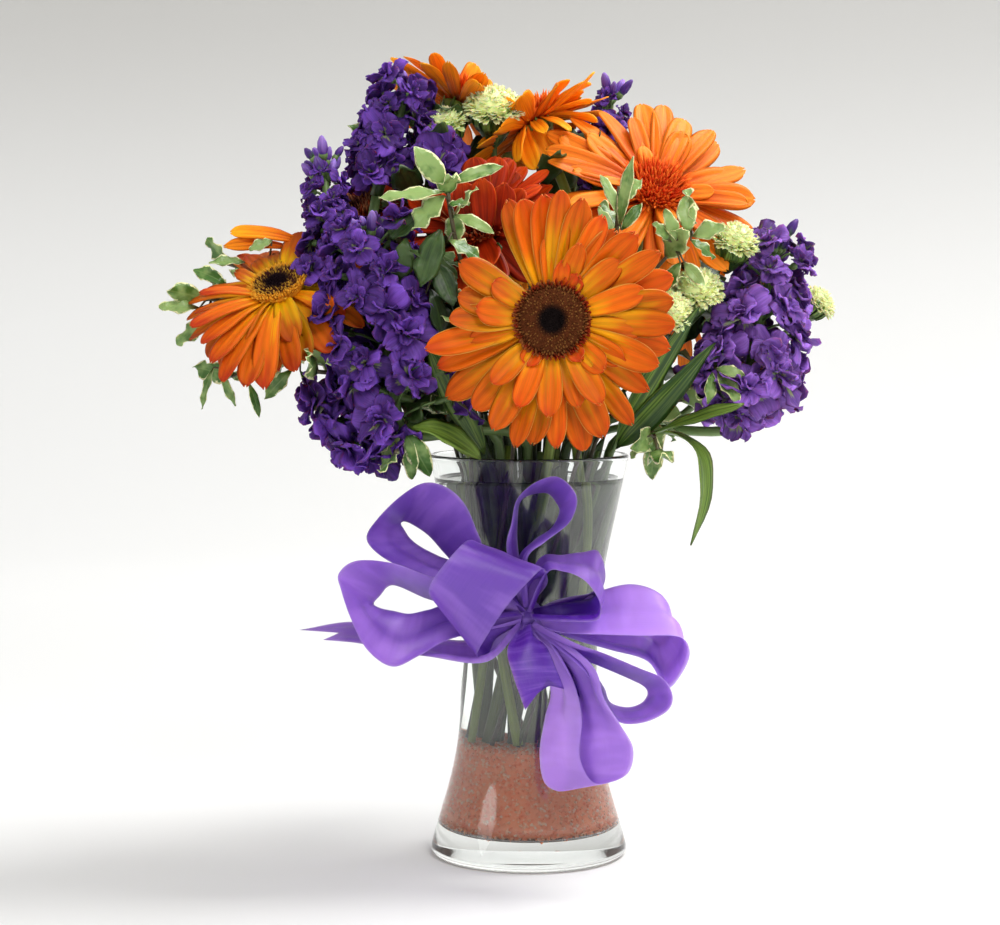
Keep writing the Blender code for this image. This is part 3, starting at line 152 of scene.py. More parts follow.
def facing(azimuth, elevation):
    """Unit vector; azimuth 0 faces -Y and grows towards +X, elevation is above the horizontal."""
    turn, lift = math.radians(azimuth), math.radians(elevation)
    return Vector((math.cos(lift) * math.sin(turn), -math.cos(lift) * math.cos(turn), math.sin(lift)))


def across_axes(axis):
    """Two unit vectors square to the axis, the first level and the second pointing up its face."""
    level = UP.cross(axis)
    if level.length < 1e-4:
        level = Vector((1, 0, 0))
    level.normalize()
    return level, axis.cross(level).normalized()


def spoke(axes, turn):
    """Unit vectors away from the middle and round it, at a turn from the first of two square axes."""
    level, high = axes
    return level * math.cos(turn) + high * math.sin(turn), high * math.cos(turn) - level * math.sin(turn)


def bezier(points, fraction):
    level = [Vector(point) for point in points]
    while len(level) > 1:
        level = [a.lerp(b, fraction) for a, b in zip(level, level[1:])]
    return level[0]


def bezier_path(points, steps=10):
    return [bezier(points, i / steps) for i in range(steps + 1)]


def smooth_path(points, steps):
    """Catmull-Rom curve through the points, with a number of steps between neighbours."""
    points = [Vector(point) for point in points]
    padded = [points[0] * 2 - points[1]] + points + [points[-1] * 2 - points[-2]]
    path = []
    for a, b, c, d in zip(padded, padded[1:], padded[2:], padded[3:]):
        for t in (step / steps for step in range(steps)):
            path.append(0.5 * (2 * b + (c - a) * t + (2 * a - 5 * b + 4 * c - d) * t ** 2
                               + (3 * b - a - 3 * c + d) * t ** 3))
    return path + [points[-1]]


def outline_radius(height):
    """Outer radius of the vase at a height, on a smooth curve through its outline points."""
    rows = (VASE_OUTLINE[0],) + VASE_OUTLINE + (VASE_OUTLINE[-1],)
    for before, (z0, r0), (z1, r1), after in zip(rows, rows[1:], rows[2:], rows[3:]):
        if height <= z0:
            return r0
        if height <= z1:
            slope0 = (r1 - before[1]) / (z1 - before[0])
            slope1 = (after[1] - r0) / (after[0] - z0)
            span = z1 - z0
            t = (height - z0) / span
            return ((2 * t ** 3 - 3 * t ** 2 + 1) * r0 + (t ** 3 - 2 * t ** 2 + t) * span * slope0
                    + (3 * t ** 2 - 2 * t ** 3) * r1 + (t ** 3 - t ** 2) * span * slope1)
    return VASE_OUTLINE[-1][1]


def inner_radius(height):
    return outline_radius(height) - GLASS_WALL


def frames_along(path):
    """(point, tangent, side, up) at each point of a path, turning as little as possible."""
    ahead = path[1:] + path[-1:]
    behind = path[:1] + path[:-1]
    tangents = [(after - before).normalized() for after, before in zip(ahead, behind)]
    side = across_axes(tangents[0])[0]
    frames = []
    for point, tangent in zip(path, tangents):
        side = (side - tangent * side.dot(tangent)).normalized()
        frames.append((point, tangent, side, tangent.cross(side)))
    return frames


# Petal and leaf surfaces

def petal_outline(t, foot, peak, power=2.3, least=0.14):
    """Share of the half width along a petal: a narrow foot, its widest at the peak, a round tip."""
    rise = foot + (1 - foot) * np.sin(np.clip(t / peak, 0, 1) * math.pi / 2)
    fall = (1 - np.clip((t - peak) / (1 - peak), 0, 1) ** power) ** (1 / power)
    return np.maximum(np.where(t < peak, rise, fall), least)


def surface(root, axes, length, half_width, outline, rows=10, cols=7, rise=0.0, bend=0.0, curl=0.0,
            roll=0.0, twist=0.0, cup=0.0, ridge=0.0, wave=0.0, waves=2.5, phase=0.0, notch=0.0):
    """Grid of points over a petal or leaf. Its axes point along, to the side and off its face.

    rise, bend and curl turn its middle line up, roll and twist turn its width, cup lifts its
    edges, ridge grooves it lengthwise, wave ruffles its edges and notch cuts its tip.
    """
    t = np.sin(np.linspace(0, math.pi / 2, rows))[:, None] ** 0.85
    c = np.linspace(-1, 1, cols)
    out, side, up = (np.array(axis) for axis in axes)
    angle = np.radians(rise + bend * t + curl * t ** 3)
    heading = out * np.cos(angle) + up * np.sin(angle)
    lift = up * np.cos(angle) - out * np.sin(angle)
    steps = np.diff(t, axis=0) * length * (heading[1:] + heading[:-1]) / 2
    spine = np.array(root) + np.concatenate([np.zeros((1, 3)), np.cumsum(steps, axis=0)])
    turn = np.radians(roll + twist * t)
    broad = side * np.cos(turn) + lift * np.sin(turn)
    high = lift * np.cos(turn) - side * np.sin(turn)
    width = half_width * petal_outline(t, *outline)
    ruffle = np.sin(math.tau * (waves * t + phase + 0.27 * np.sign(c)))
    above = cup * width * c ** 2 + ridge * np.cos(3 * math.pi * c) * np.minimum(1, 4 * (1 - t))
    above = above + wave * ruffle * np.abs(c) ** 1.6 * np.minimum(1, 3 * t)
    back = notch * (0.5 + 0.5 * np.cos(2 * math.pi * c)) * t ** 6
    grid = spine[:, None] + broad[:, None] * (c * width)[..., None] + high[:, None] * above[..., None]
    return grid - heading[:, None] * back[..., None]


# Skins: the meshes of the visible pieces

class Skin:
    """Gathers the points, faces and painting coordinates of one visible piece.

    Each point has a place across and along its petal or leaf, from 0 to 1, and a tint that is
    the same all over one petal or leaf. The materials paint by these.
    """

    def __init__(self):
        self.points = []
        self.paint = []
        self.tints = []
        self.faces = []
        self.count = 0

    def add(self, points, faces, paint, tint):
        points = np.asarray(points, float).reshape(-1, 3)
        self.points.append(points)
        self.paint.append(np.asarray(paint, float).reshape(-1, 2))
        self.tints.append(np.zeros(len(points)) + tint)
        self.faces += [[index + self.count for index in face] for face in faces]
        self.count += len(points)

    def sheet(self, grid, tint, thickness):
        """Closed thin sheet over a grid of points: two faces that share their border."""
        grid = np.asarray(grid, float)
        rows, cols = grid.shape[:2]
        normal = np.cross(np.gradient(grid, axis=1), np.gradient(grid, axis=0))
        normal /= np.linalg.norm(normal, axis=2, keepdims=True) + 1e-9
        half = np.zeros((rows, cols, 1))
        half[1:-1, 1:-1] = thickness / 2
        top = grid + normal * half
        under = (grid - normal * half)[1:-1, 1:-1]
        ids = np.arange(rows * cols).reshape(rows, cols)
        low = ids.copy()
        low[1:-1, 1:-1] = rows * cols + np.arange((rows - 2) * (cols - 2)).reshape(rows - 2, cols - 2)
        upper = np.stack([ids[:-1, :-1], ids[:-1, 1:], ids[1:, 1:], ids[1:, :-1]], -1)
        lower = np.stack([low[:-1, :-1], low[1:, :-1], low[1:, 1:], low[:-1, 1:]], -1)
        paint = np.stack(np.meshgrid(np.linspace(0, 1, cols), np.linspace(0, 1, rows)), -1)
        self.add(
            np.concatenate([top.reshape(-1, 3), under.reshape(-1, 3)]),
            np.concatenate([upper.reshape(-1, 4), lower.reshape(-1, 4)]).tolist(),
            np.concatenate([paint.reshape(-1, 2), paint[1:-1, 1:-1].reshape(-1, 2)]), tint)

    def blade(self, *place, thickness, tint, **bends):
        """Thin petal or leaf on the surface that the other values describe."""
        self.sheet(surface(*place, **bends), tint, thickness)

    def tube(self, path, radii, sides, tint, ridge=0.0):
        """Closed round rod along a path, faintly ridged where asked; radii may be one number."""
        points, faces = [], []
        turns = [math.tau * j / sides for j in range(sides)]
        radii = np.broadcast_to(radii, len(path)).tolist()
        for (point, _, side, up), radius in zip(frames_along(path), radii):
            for turn in turns:
                reach = radius * (1 + ridge * math.cos(5 * turn))
                points.append(point + spoke((side, up), turn)[0] * reach)
        for i in range(0, (len(path) - 1) * sides, sides):
            for j in range(sides):
                k = (j + 1) % sides
                faces.append([i + j, i + k, i + sides + k, i + sides + j])
        faces += [list(range(sides))[::-1], list(range(len(points) - sides, len(points)))]
        paint = np.meshgrid(np.arange(sides) / sides, np.linspace(0, 1, len(path)))
        self.add(points, faces, np.stack(paint, -1), tint)

    def lathe(self, rows, sides, centre=(0, 0, 0), axis=UP, tint=0.5, closed=False):
        """Solid turned about an axis from (radius, height) pairs; a radius of 0 is a pole."""
        centre = Vector(centre)
        axes = across_axes(axis)
        points, paint, rings, faces = [], [], [], []
        for i, (radius, height) in enumerate(rows):
            turns = sides if radius else 1
            rings.append([len(points) + j % turns for j in range(sides)])
            for j in range(turns):
                points.append(centre + spoke(axes, math.tau * j / sides)[0] * radius + axis * height)
                paint.append((j / sides if radius else 0.5, i / (len(rows) - 1)))
        loops = rings + rings[:1] if closed else rings
        for low, top in zip(loops, loops[1:]):
            for j in range(sides):
                k = (j + 1) % sides
                faces.append(list(dict.fromkeys((low[j], low[k], top[k], top[j]))))
        self.add(points, faces, paint, tint)

    def spikes(self, roots, tips, radii, along, tints, sides=4):
        """Many small pointed rods at once: the florets of a disc."""
        roots, tips = np.asarray(roots, float), np.asarray(tips, float)
        way = tips - roots
        way /= np.linalg.norm(way, axis=1, keepdims=True)
        side = np.cross(way, np.where(np.abs(way[:, 2:3]) < 0.9, [[0, 0, 1.0]], [[1.0, 0, 0]]))
        side /= np.linalg.norm(side, axis=1, keepdims=True)
        other = np.cross(way, side)
        rings = []
        for share, wide in ((0.0, 0.8), (0.7, 1.0)):
            for j in range(sides):
                out = spoke((side, other), math.tau * j / sides)[0]
                rings.append(roots + (tips - roots) * share + out * (np.asarray(radii)[:, None] * wide))
        step = 2 * sides + 1
        pattern = [list(range(sides))[::-1]]
        for j in range(sides):
            k = (j + 1) % sides
            pattern += [[j, k, sides + k, sides + j], [sides + j, sides + k, 2 * sides]]
        faces = [[i + index for index in face] for i in range(0, len(roots) * step, step) for face in pattern]
        paint = np.stack([np.tile(np.linspace(0, 1, step), len(roots)), np.repeat(along, step)], -1)
        self.add(np.stack(rings + [tips], axis=1), faces, paint, np.repeat(tints, step))

    def make(self, name, material, slot, nodes=(), crease=None):
        """The finished piece: smooth, painted, riding on the body, standing for its solids."""
        mesh = bpy.data.meshes.new(name)
        mesh.from_pydata((np.concatenate(self.points) * MM).tolist(), [], self.faces)
        mesh.validate()
        corners = np.zeros(len(mesh.loops), np.int32)
        mesh.loops.foreach_get("vertex_index", corners)
        layer = mesh.uv_layers.new(name="paint")
        layer.data.foreach_set("uv", np.concatenate(self.paint)[corners].astype(np.float32).ravel())
        tint = mesh.attributes.new("tint", "FLOAT", "POINT")
        tint.data.foreach_set("value", np.concatenate(self.tints).astype(np.float32))
        mesh.shade_smooth()
        if crease:
            mesh.set_sharp_from_angle(angle=math.radians(crease))
        mesh.materials.append(material)
        piece = bpy.data.objects.new(name, mesh)
        bpy.context.scene.collection.objects.link(piece)
        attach(piece, "root")
        if nodes:
            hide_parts(*nodes)
        return piece


# Shader graphs

def arithmetic(operation, flipped=False):
    """Method that adds a maths node for a value and another one, the other first if flipped."""
    def method(value, other=0.0):
        pair = (other, value) if flipped else (value, other)
        return value.graph.run("ShaderNodeMath", pair, operation=operation)
    return method


class Value:
    """Output of a shader node, which works in sums like a number."""

    __add__ = __radd__ = arithmetic("ADD")
    __mul__ = arithmetic("MULTIPLY")
    __sub__ = arithmetic("SUBTRACT")
    __rsub__ = arithmetic("SUBTRACT", True)
    __pow__ = arithmetic("POWER")
    __abs__ = arithmetic("ABSOLUTE")
    at_least = arithmetic("MAXIMUM")
    fold = arithmetic("PINGPONG")
    sine = arithmetic("SINE")
    cosine = arithmetic("COSINE")
    root = arithmetic("SQRT")

    def __init__(self, graph, socket):
        self.graph = graph
        self.socket = socket

    def step(self, low, high, first=0.0, last=1.0):
        """Smooth step between two edges, from the first number to the last."""
        return self.graph.run("ShaderNodeMapRange", (self, low, high, first, last),
                              interpolation_type="SMOOTHSTEP")


class Graph:
    """Short ways to add and wire the nodes of a material or of a group."""

    def __init__(self, tree):
        self.tree = tree

    def node(self, kind, inputs=(), **settings):
        """New node with its settings, and its inputs fed in order or by name."""
        node = self.tree.nodes.new(kind)
        for name, value in settings.items():
            setattr(node, name, value)
        for key, value in inputs.items() if isinstance(inputs, dict) else enumerate(inputs):
            self.feed(node.inputs[key], value)
        return node

    def run(self, kind, inputs=(), output=0, **settings):
        return Value(self, self.node(kind, inputs, **settings).outputs[output])

    def feed(self, socket, value):
        if isinstance(value, Value):
            self.tree.links.new(value.socket, socket)
        elif isinstance(value, tuple) and socket.type == "RGBA":
            socket.default_value = (*value, 1.0)
        else:
            socket.default_value = value

    def mix(self, factor, a, b, blend="MIX"):
        return self.run("ShaderNodeMix", {0: factor, 6: a, 7: b}, 2, data_type="RGBA", blend_type=blend)

    def noise(self, place, scale=1.0, detail=2.0, roughness=0.5):
        """Noise at a place, or at three numbers taken as one."""
        if isinstance(place, tuple):
            place = self.run("ShaderNodeCombineXYZ", place)
        return self.run("ShaderNodeTexNoise", {
            "Vector": place, "Scale": scale, "Detail": detail, "Roughness": roughness})

    def split(self, vector):
        return [Value(self, socket) for socket in self.node("ShaderNodeSeparateXYZ", (vector,)).outputs]

    def paint(self):
        """Places across and along a petal or leaf, and its tint."""
        across, along, _ = self.split(self.run("ShaderNodeUVMap", uv_map="paint"))
        return across, along, self.run("ShaderNodeAttribute", output="Fac", attribute_name="tint")

    def place(self):
        return self.run("ShaderNodeTexCoord", output="Object")

    def relief(self, shader, height, strength, distance):
        bump = self.run("ShaderNodeBump", {"Strength": strength, "Distance": distance, "Height": height})
        self.feed(shader.inputs["Normal"], bump)


# Labels of the paint groups' inputs, and how many of them are colours.
LABELS = {
    "petal": (("Foot", "Middle", "Tip", "Edge", "Edge Amount", "Foot Share", "Streak", "Spread"), 4),
    "leaf": (("Dark", "Light", "Margin", "Margin Share", "Streaked"), 3),
    "disc": (("Middle", "Ring", "Rim", "Fleck", "Middle Share", "Rim Share", "Fleck Amount"), 4),
}


def new_group(name, relief=True):
    """Empty paint group; returns its graph, the values given to it and its result."""
    labels, colours = LABELS[name]
    tree = bpy.data.node_groups.new(name + "_paint", "ShaderNodeTree")
    for i, label in enumerate(labels):
        kind = "NodeSocketColor" if i < colours else "NodeSocketFloat"
        tree.interface.new_socket(label, in_out="INPUT", socket_type=kind)
    tree.interface.new_socket("Color", in_out="OUTPUT", socket_type="NodeSocketColor")
    if relief:
        tree.interface.new_socket("Height", in_out="OUTPUT", socket_type="NodeSocketFloat")
    graph = Graph(tree)
    sockets = graph.node("NodeGroupInput").outputs
    given = {label: Value(graph, sockets[label]) for label in labels}
    return graph, given, graph.node("NodeGroupOutput").inputs


def petal_paint_group():
    """Colour from a petal's foot to its tip, with lengthwise streaks and pale edges."""
    graph, given, result = new_group("petal")
    across, along, tint = graph.paint()
    lines = graph.noise((across * 17.0, along * 1.6, tint * 40.0), detail=3.0, roughness=0.6)
    cloud = graph.noise((across * 3.0, along * 2.2, tint * 55.0), detail=1.0)
    centred = lines - 0.5
    shifted = along + centred * 0.6 + (cloud - 0.5) * 0.7 + (tint - 0.5) * 0.35
    low = graph.mix(shifted.step(0.0, given["Foot Share"]), given["Foot"], given["Middle"])
    colour = graph.mix(shifted.step(given["Foot Share"], 1.05), low, given["Tip"])
    groove = ((across - 0.5) * (6 * math.pi)).cosine()
    shade = (groove * 0.22 + centred * 2.6) * given["Streak"] + 1.0
    shade = shade + (tint.fold(1.0) - 0.5) * given["Spread"]
    colour = graph.mix(1.0, colour, graph.run("ShaderNodeCombineXYZ", (shade, shade, shade)), "MULTIPLY")
    rim = abs(across * 2.0 - 1.0).at_least(along) + centred * 0.22
    rim = rim.step(0.93, 1.02) * given["Edge Amount"]
    graph.feed(result["Color"], graph.mix(rim, colour, given["Edge"]))
    graph.feed(result["Height"], lines + groove * 0.25)
    return graph.tree


def leaf_paint_group():
    """Leaf colour in blotches or streaks, with a lighter midrib and a broken margin of another colour."""
    graph, given, result = new_group("leaf")
    across, along, tint = graph.paint()
    place = graph.place()
    blotch = graph.noise(place, 160.0)
    streaks = graph.noise((across * 9.0, along * 1.2, tint * 30.0), detail=3.0, roughness=0.6)
    blotches = blotch + (streaks - blotch) * given["Streaked"] + tint * 0.4
    colour = graph.mix(blotches.step(0.45, 0.85), given["Dark"], given["Light"])
    off = abs(across * 2.0 - 1.0)
    rib = off.step(0.12, 0.0)
    veins = ((along - off * 0.16) * 60.0).sine()
    colour = graph.mix(rib * 0.4, colour, given["Light"])
    broken = off.at_least(along * 2.0 - 1.0) + (graph.noise(place, 420.0) - 0.5) * 0.55
    start = 1.0 - given["Margin Share"]
    margin = broken.step(start, start + 0.08) * given["Margin Share"].step(0.0, 0.02)
    graph.feed(result["Color"], graph.mix(margin, colour, given["Margin"]))
    graph.feed(result["Height"], veins * 0.25 + rib * -0.8 + blotch)
    return graph.tree


def disc_paint_group():
    """Colour of a disc by the distance from its middle, flecked floret by floret."""
    graph, given, result = new_group("disc", relief=False)
    _, along, tint = graph.paint()
    outside = along.step(given["Middle Share"] - 0.24, given["Middle Share"])
    colour = graph.mix(outside, given["Middle"], given["Ring"])
    colour = graph.mix(along.step(given["Rim Share"] - 0.1, given["Rim Share"]), colour, given["Rim"])
    fleck = tint.step(0.25, 0.85) * outside * given["Fleck Amount"]
    graph.feed(result["Color"], graph.mix(fleck, colour, given["Fleck"]))
    return graph.tree


GROUPS = {"petal": petal_paint_group(), "leaf": leaf_paint_group(), "disc": disc_paint_group()}


def new_material(name, roughness, **shader_values):
    """New material with its Principled shader set; returns the material, its graph and shader."""
    material = bpy.data.materials.new(name)
    material.use_nodes = True
    shader = material.node_tree.nodes["Principled BSDF"]
    shader.inputs["Roughness"].default_value = roughness
    for label, value in shader_values.items():
        shader.inputs[label.replace("_", " ")].default_value = value
    return material, Graph(material.node_tree), shader


def painted(name, group, values, roughness, bump=0.0, distance=0.0, **shader_values):
    """Material whose colour, and relief if any, come from one of the paint groups."""
    material, graph, shader = new_material(name, roughness, **shader_values)
    paint = graph.node("ShaderNodeGroup", node_tree=GROUPS[group])
    for label, value in zip(LABELS[group][0], values):
        graph.feed(paint.inputs[label], value)
    graph.feed(shader.inputs["Base Color"], Value(graph, paint.outputs["Color"]))
    if bump:
        graph.relief(shader, Value(graph, paint.outputs["Height"]), bump, distance)
    return material


def petal_material(name, *values, roughness=0.48, soft=0.25):
    return painted(name, "petal", values, roughness, 0.5, 0.0003, Subsurface_Weight=soft,
                   Subsurface_Scale=0.0015, Specular_IOR_Level=0.12)


def leaf_material(name, *values, roughness=0.42):
    return painted(name, "leaf", values, roughness, 0.35, 0.0002, Subsurface_Weight=0.1,
                   Subsurface_Scale=0.001, Specular_IOR_Level=0.35)


def disc_material(name, *values):
    return painted(name, "disc", values, 0.8, Specular_IOR_Level=0.1)


def clear_material(name, colour, ior):
    return new_material(name, 0.0, Transmission_Weight=1.0, IOR=ior, Base_Color=colour)[0]


def satin_material():
    """Purple satin: fine threads and slubs, painted highlight stripes across its length, and each strand's
    tint as its painted light and shade level.
    """
    material, graph, shader = new_material(
        "purple_satin", 0.36, Sheen_Weight=0.05, Sheen_Roughness=0.4, Sheen_Tint=(0.72, 0.55, 1.0, 1.0),
        Anisotropic=0.85, Specular_IOR_Level=0.5, Subsurface_Weight=0.35, Subsurface_Scale=0.006,
        Subsurface_Radius=(0.5, 0.35, 1.0))
    across, along, tint = graph.paint()
    threads = (across * (RIBBON_THREADS * math.tau)).sine()
    slubs = graph.noise((across * 90.0, along * 9.0, tint))
    painted_highlight_bands = graph.noise((across * 0.9, along * 15.0, tint * 9.0), roughness=0.6)
    # Painted light: highlight stripes and each strand's light and shade level, over the slubs.
    slubs_and_painted_light = (slubs * 0.10 + painted_highlight_bands.step(0.38, 0.7, -0.12, 0.06) + tint).at_least(0.0)
    graph.feed(shader.inputs["Base Color"], graph.mix(slubs_and_painted_light, (0.062, 0.007, 0.29), (0.50, 0.255, 1.0)))
    graph.relief(shader, threads + slubs, 0.18, 0.00012)
    across_way = graph.run("ShaderNodeTangent", direction_type="UV_MAP", uv_map="paint")
    graph.feed(shader.inputs["Tangent"], across_way)
    return material


def gravel_material():
    """Salmon chips, each of its own shade, with a fine grain."""
    material, graph, shader = new_material("salmon_gravel", 0.7)
    tint = graph.paint()[2]
    grain = graph.noise(graph.place(), 900.0, 3.0, 0.7)
    colour = graph.mix(tint.step(0.1, 0.9), (1.0, 0.225, 0.08), (1.0, 0.52, 0.30))
    colour = graph.mix(tint.step(0.86, 0.97) * 0.5, colour, (0.98, 0.80, 0.68))
    colour = graph.mix(grain.step(0.35, 0.75, 0.0, 0.25), colour, (1.0, 0.62, 0.46))
    graph.feed(shader.inputs["Base Color"], colour)
    return material


def stem_material(name, low, high):
    """Green stem that pales upwards, with fine lengthwise lines."""
    material, graph, shader = new_material(name, 0.45, Subsurface_Weight=0.1, Subsurface_Scale=0.001)
    across, along, tint = graph.paint()
    lines = graph.noise((across * 14.0, along * 3.0, tint * 20.0), detail=3.0)
    mottled = along * 0.6 + lines * 0.7
    graph.feed(shader.inputs["Base Color"], graph.mix(mottled.step(0.2, 1.0), low, high))
    graph.relief(shader, lines, 0.3, 0.0002)
    return material


def materials(make, rows, **looks):
    """Materials by short names, each made from its row of a full name and its values."""
    return {key: make(name, *values, **looks) for key, (name, *values) in rows.items()}


# The values of each row stand in the order of LABELS.
PETALS = materials(petal_material, {
    "orange": ("petal_orange", (0.77, 0.31, 0.002), (0.63, 0.113, 0.002), (0.51, 0.044, 0.002),
               (0.95, 0.60, 0.12), 0.55, 0.46, 0.36, 0.5),
    "golden": ("petal_golden_orange", (0.80, 0.40, 0.003), (0.52, 0.100, 0.003), (0.31, 0.024, 0.003),
               (0.92, 0.45, 0.06), 0.4, 0.46, 0.36, 0.6),
    "clear": ("petal_clear_orange", (0.64, 0.085, 0.003), (0.80, 0.18, 0.008), (0.84, 0.235, 0.014),
              (0.95, 0.42, 0.06), 0.3, 0.5, 0.30, 0.34),
    "red": ("petal_red_orange", (0.20, 0.009, 0.001), (0.35, 0.020, 0.001), (0.50, 0.052, 0.003),
            (0.75, 0.16, 0.02), 0.35, 0.5, 0.42, 0.4),
    "amber": ("petal_amber", (0.72, 0.13, 0.005), (0.90, 0.25, 0.006), (0.94, 0.36, 0.010),
              (0.95, 0.46, 0.06), 0.3, 0.5, 0.32, 0.5),
})
EYES = materials(disc_material, {
    "brown": ("disc_brown", (0.005, 0.002, 0.002), (0.095, 0.024, 0.006), (0.25, 0.017, 0.003),
              (0.28, 0.12, 0.03), 0.50, 0.93, 0.6),
    "dark": ("disc_dark_gold", (0.008, 0.002, 0.004), (0.05, 0.010, 0.008), (0.70, 0.28, 0.015),
             (0.85, 0.46, 0.05), 0.58, 0.84, 0.6),
    "ragged": ("disc_red_ragged", (0.30, 0.012, 0.005), (0.62, 0.045, 0.005), (0.72, 0.10, 0.008),
               (0.92, 0.26, 0.03), 0.24, 0.9, 0.5),
    "ember": ("disc_ember", (0.03, 0.003, 0.003), (0.14, 0.014, 0.006), (0.42, 0.05, 0.008),
              (0.80, 0.42, 0.2), 0.5, 0.88, 0.4),
})
FLORETS = materials(petal_material, {
    "deep": ("stock_petal", (0.30, 0.34, 0.16), (0.075, 0.026, 0.19), (0.125, 0.048, 0.32),
             (0.22, 0.10, 0.48), 0.3, 0.12, 0.34, 0.9),
    "light": ("stock_petal_light", (0.34, 0.40, 0.20), (0.142, 0.058, 0.29), (0.235, 0.105, 0.45),
              (0.34, 0.20, 0.60), 0.3, 0.16, 0.34, 0.9),
    "bud": ("stock_bud", (0.10, 0.20, 0.05), (0.085, 0.032, 0.22), (0.26, 0.16, 0.46),
            (0.4, 0.3, 0.6), 0.2, 0.36, 0.3, 0.8),
}, roughness=0.5, soft=0.2)
BUTTON = petal_material("button_petal", (0.50, 0.60, 0.14), (0.80, 0.85, 0.34), (0.90, 0.92, 0.54),
                        (0.95, 0.96, 0.70), 0.4, 0.4, 0.12, 0.25, soft=0.35)
GREENS = materials(stem_material, {
    "gerbera": ("gerbera_stem_green", (0.055, 0.105, 0.009), (0.27, 0.37, 0.05)),
    "stock": ("stock_stem_green", (0.034, 0.070, 0.012), (0.20, 0.32, 0.10)),
    "spray": ("spray_stem_green", (0.013, 0.029, 0.006), (0.09, 0.16, 0.035)),
    "twig": ("twig_brown", (0.035, 0.025, 0.015), (0.09, 0.075, 0.035)),
})
NO_MARGIN = ((0.2, 0.3, 0.1), 0.0)
# Lance leaves: lengthwise light and dark streaks, partly the leaf's own stripes and partly painted highlight.
LANCE = leaf_material("lance_leaf_green", (0.018, 0.055, 0.008), (0.19, 0.30, 0.045), *NO_MARGIN, 1.0)
# Leaves inside the bunch and the vase: their dark green is partly their own colour, partly painted shade.
INNER = leaf_material("inner_leaf_green", (0.010, 0.026, 0.007), (0.050, 0.095, 0.022), *NO_MARGIN, 0.6)
BRACT = leaf_material("bract_green", (0.014, 0.050, 0.007), (0.16, 0.27, 0.05), *NO_MARGIN, 1.0)
VARIEGATED = leaf_material("variegated_leaf", (0.055, 0.145, 0.020), (0.26, 0.38, 0.12), (0.82, 0.82, 0.44),
                           0.18, 0.0, roughness=0.32)
GLASS = clear_material("vase_glass", (0.97, 0.99, 0.98, 1), 1.5)
WATER = clear_material("clear_water", (0.97, 0.985, 0.97, 1), 1.333)
SATIN = satin_material()
GRAVEL = gravel_material()


# Glass, water and gravel

def corner_rows(widen=0.0):
    """The inner corner of the vase from its floor up, as radius and height, a little wider if asked."""
    wall = inner_radius(CORNER_TOP) + widen
    return [(wall - inward, height) for inward, height in INNER_CORNER]


def build_vase():
    """Blown-looking vase: rounded heel and lip, thick clear foot."""
    rim = VASE_OUTLINE[-1][1]
    rows = list(HEEL)
    rows += [(outline_radius(z), z) for z in np.linspace(HEEL_TOP, LIP_FOOT, 72)]
    rows += [(rim + out, VASE_HEIGHT + rise) for out, rise in LIP]
    rows += [(inner_radius(z), z) for z in np.linspace(LIP_FOOT, WALL_FOOT, 66)]
    rows += corner_rows()[::-1] + [(0, GLASS_FLOOR)]
    skin = Skin()
    skin.lathe(rows, VASE_SIDES)
    skin.make("vase_glass", GLASS, "glass", ["vase"])


def build_water():
    """Water with its skin drawn up a little where it meets the glass."""
    foot, *corner = corner_rows(WATER_OVERLAP)
    low = GLASS_FLOOR - WATER_OVERLAP
    rows = [(0, low), (foot[0], low)] + corner
    heights = np.linspace(WALL_FOOT, WATER_TOP + WATER_CREEP, 60)
    rows += [(inner_radius(z) + WATER_OVERLAP, z) for z in heights]
    wall = inner_radius(WATER_TOP + WATER_CREEP)
    rows += [(wall - inward, WATER_TOP + rise) for inward, rise in WATER_EDGE] + [(0, WATER_TOP)]
    skin = Skin()
    skin.lathe(rows, VASE_SIDES)
    skin.make("clear_water", WATER, "water", ["water"])


CHIP_FACES = ((0, 2, 4), (2, 1, 4), (1, 3, 4), (3, 0, 4), (2, 0, 5), (1, 2, 5), (3, 1, 5), (0, 3, 5))


def chip(skin, radius, angle, height, size, draw):
    """Crushed chip: an octahedron pulled out of true."""
    centre = Vector((radius * math.cos(angle), radius * math.sin(angle), height))
    turn = Vector([draw.uniform(-1, 1) for _ in range(3)]).normalized()
    points = [centre + axis * sign * size * draw.uniform(0.45, 1.1)
              for axis in (turn, *across_axes(turn)) for sign in (1, -1)]
    skin.add(points, CHIP_FACES, [(0.5, 0.5)] * 6, draw.random())


def build_gravel():
    """Bed of chips: a solid core, and loose chips against the glass and over the top."""
    skin = Skin()
    draw = random.Random(5)
    corner = inner_radius(CORNER_TOP)
    rows = [(0, GLASS_FLOOR + 0.6), (inner_radius(16) - 9.0, GLASS_FLOOR + 0.6), (corner - 3.2, 16.4)]
    rows += [(inner_radius(z) - 1.9, z) for z in np.linspace(WALL_FOOT, GRAVEL_TOP - 2.5, 9)]
    skin.lathe(rows + [(0, GRAVEL_TOP - 2.0)], 48, tint=0.35)
    for _ in range(WALL_CHIPS):
        z = draw.uniform(GLASS_FLOOR + 0.9, GRAVEL_TOP - 0.4)
        wall = inner_radius(z) if z > CORNER_TOP else corner - (CORNER_TOP - z) ** 2 * 0.25
        angle = draw.uniform(0, math.tau)
        radius = wall - draw.uniform(1.0, 2.3)
        chip(skin, radius, angle, z, draw.uniform(0.7, 1.6), draw)
    for _ in range(TOP_CHIPS):
        radius = math.sqrt(draw.random()) * (inner_radius(GRAVEL_TOP) - 1.4)
        angle = draw.uniform(0, math.tau)
        z = GRAVEL_TOP - draw.uniform(0.8, 2.4)
        chip(skin, radius, angle, z, draw.uniform(0.9, 1.7), draw)
    skin.make("gravel_bed", GRAVEL, "gravel", ["gravel"], crease=25)
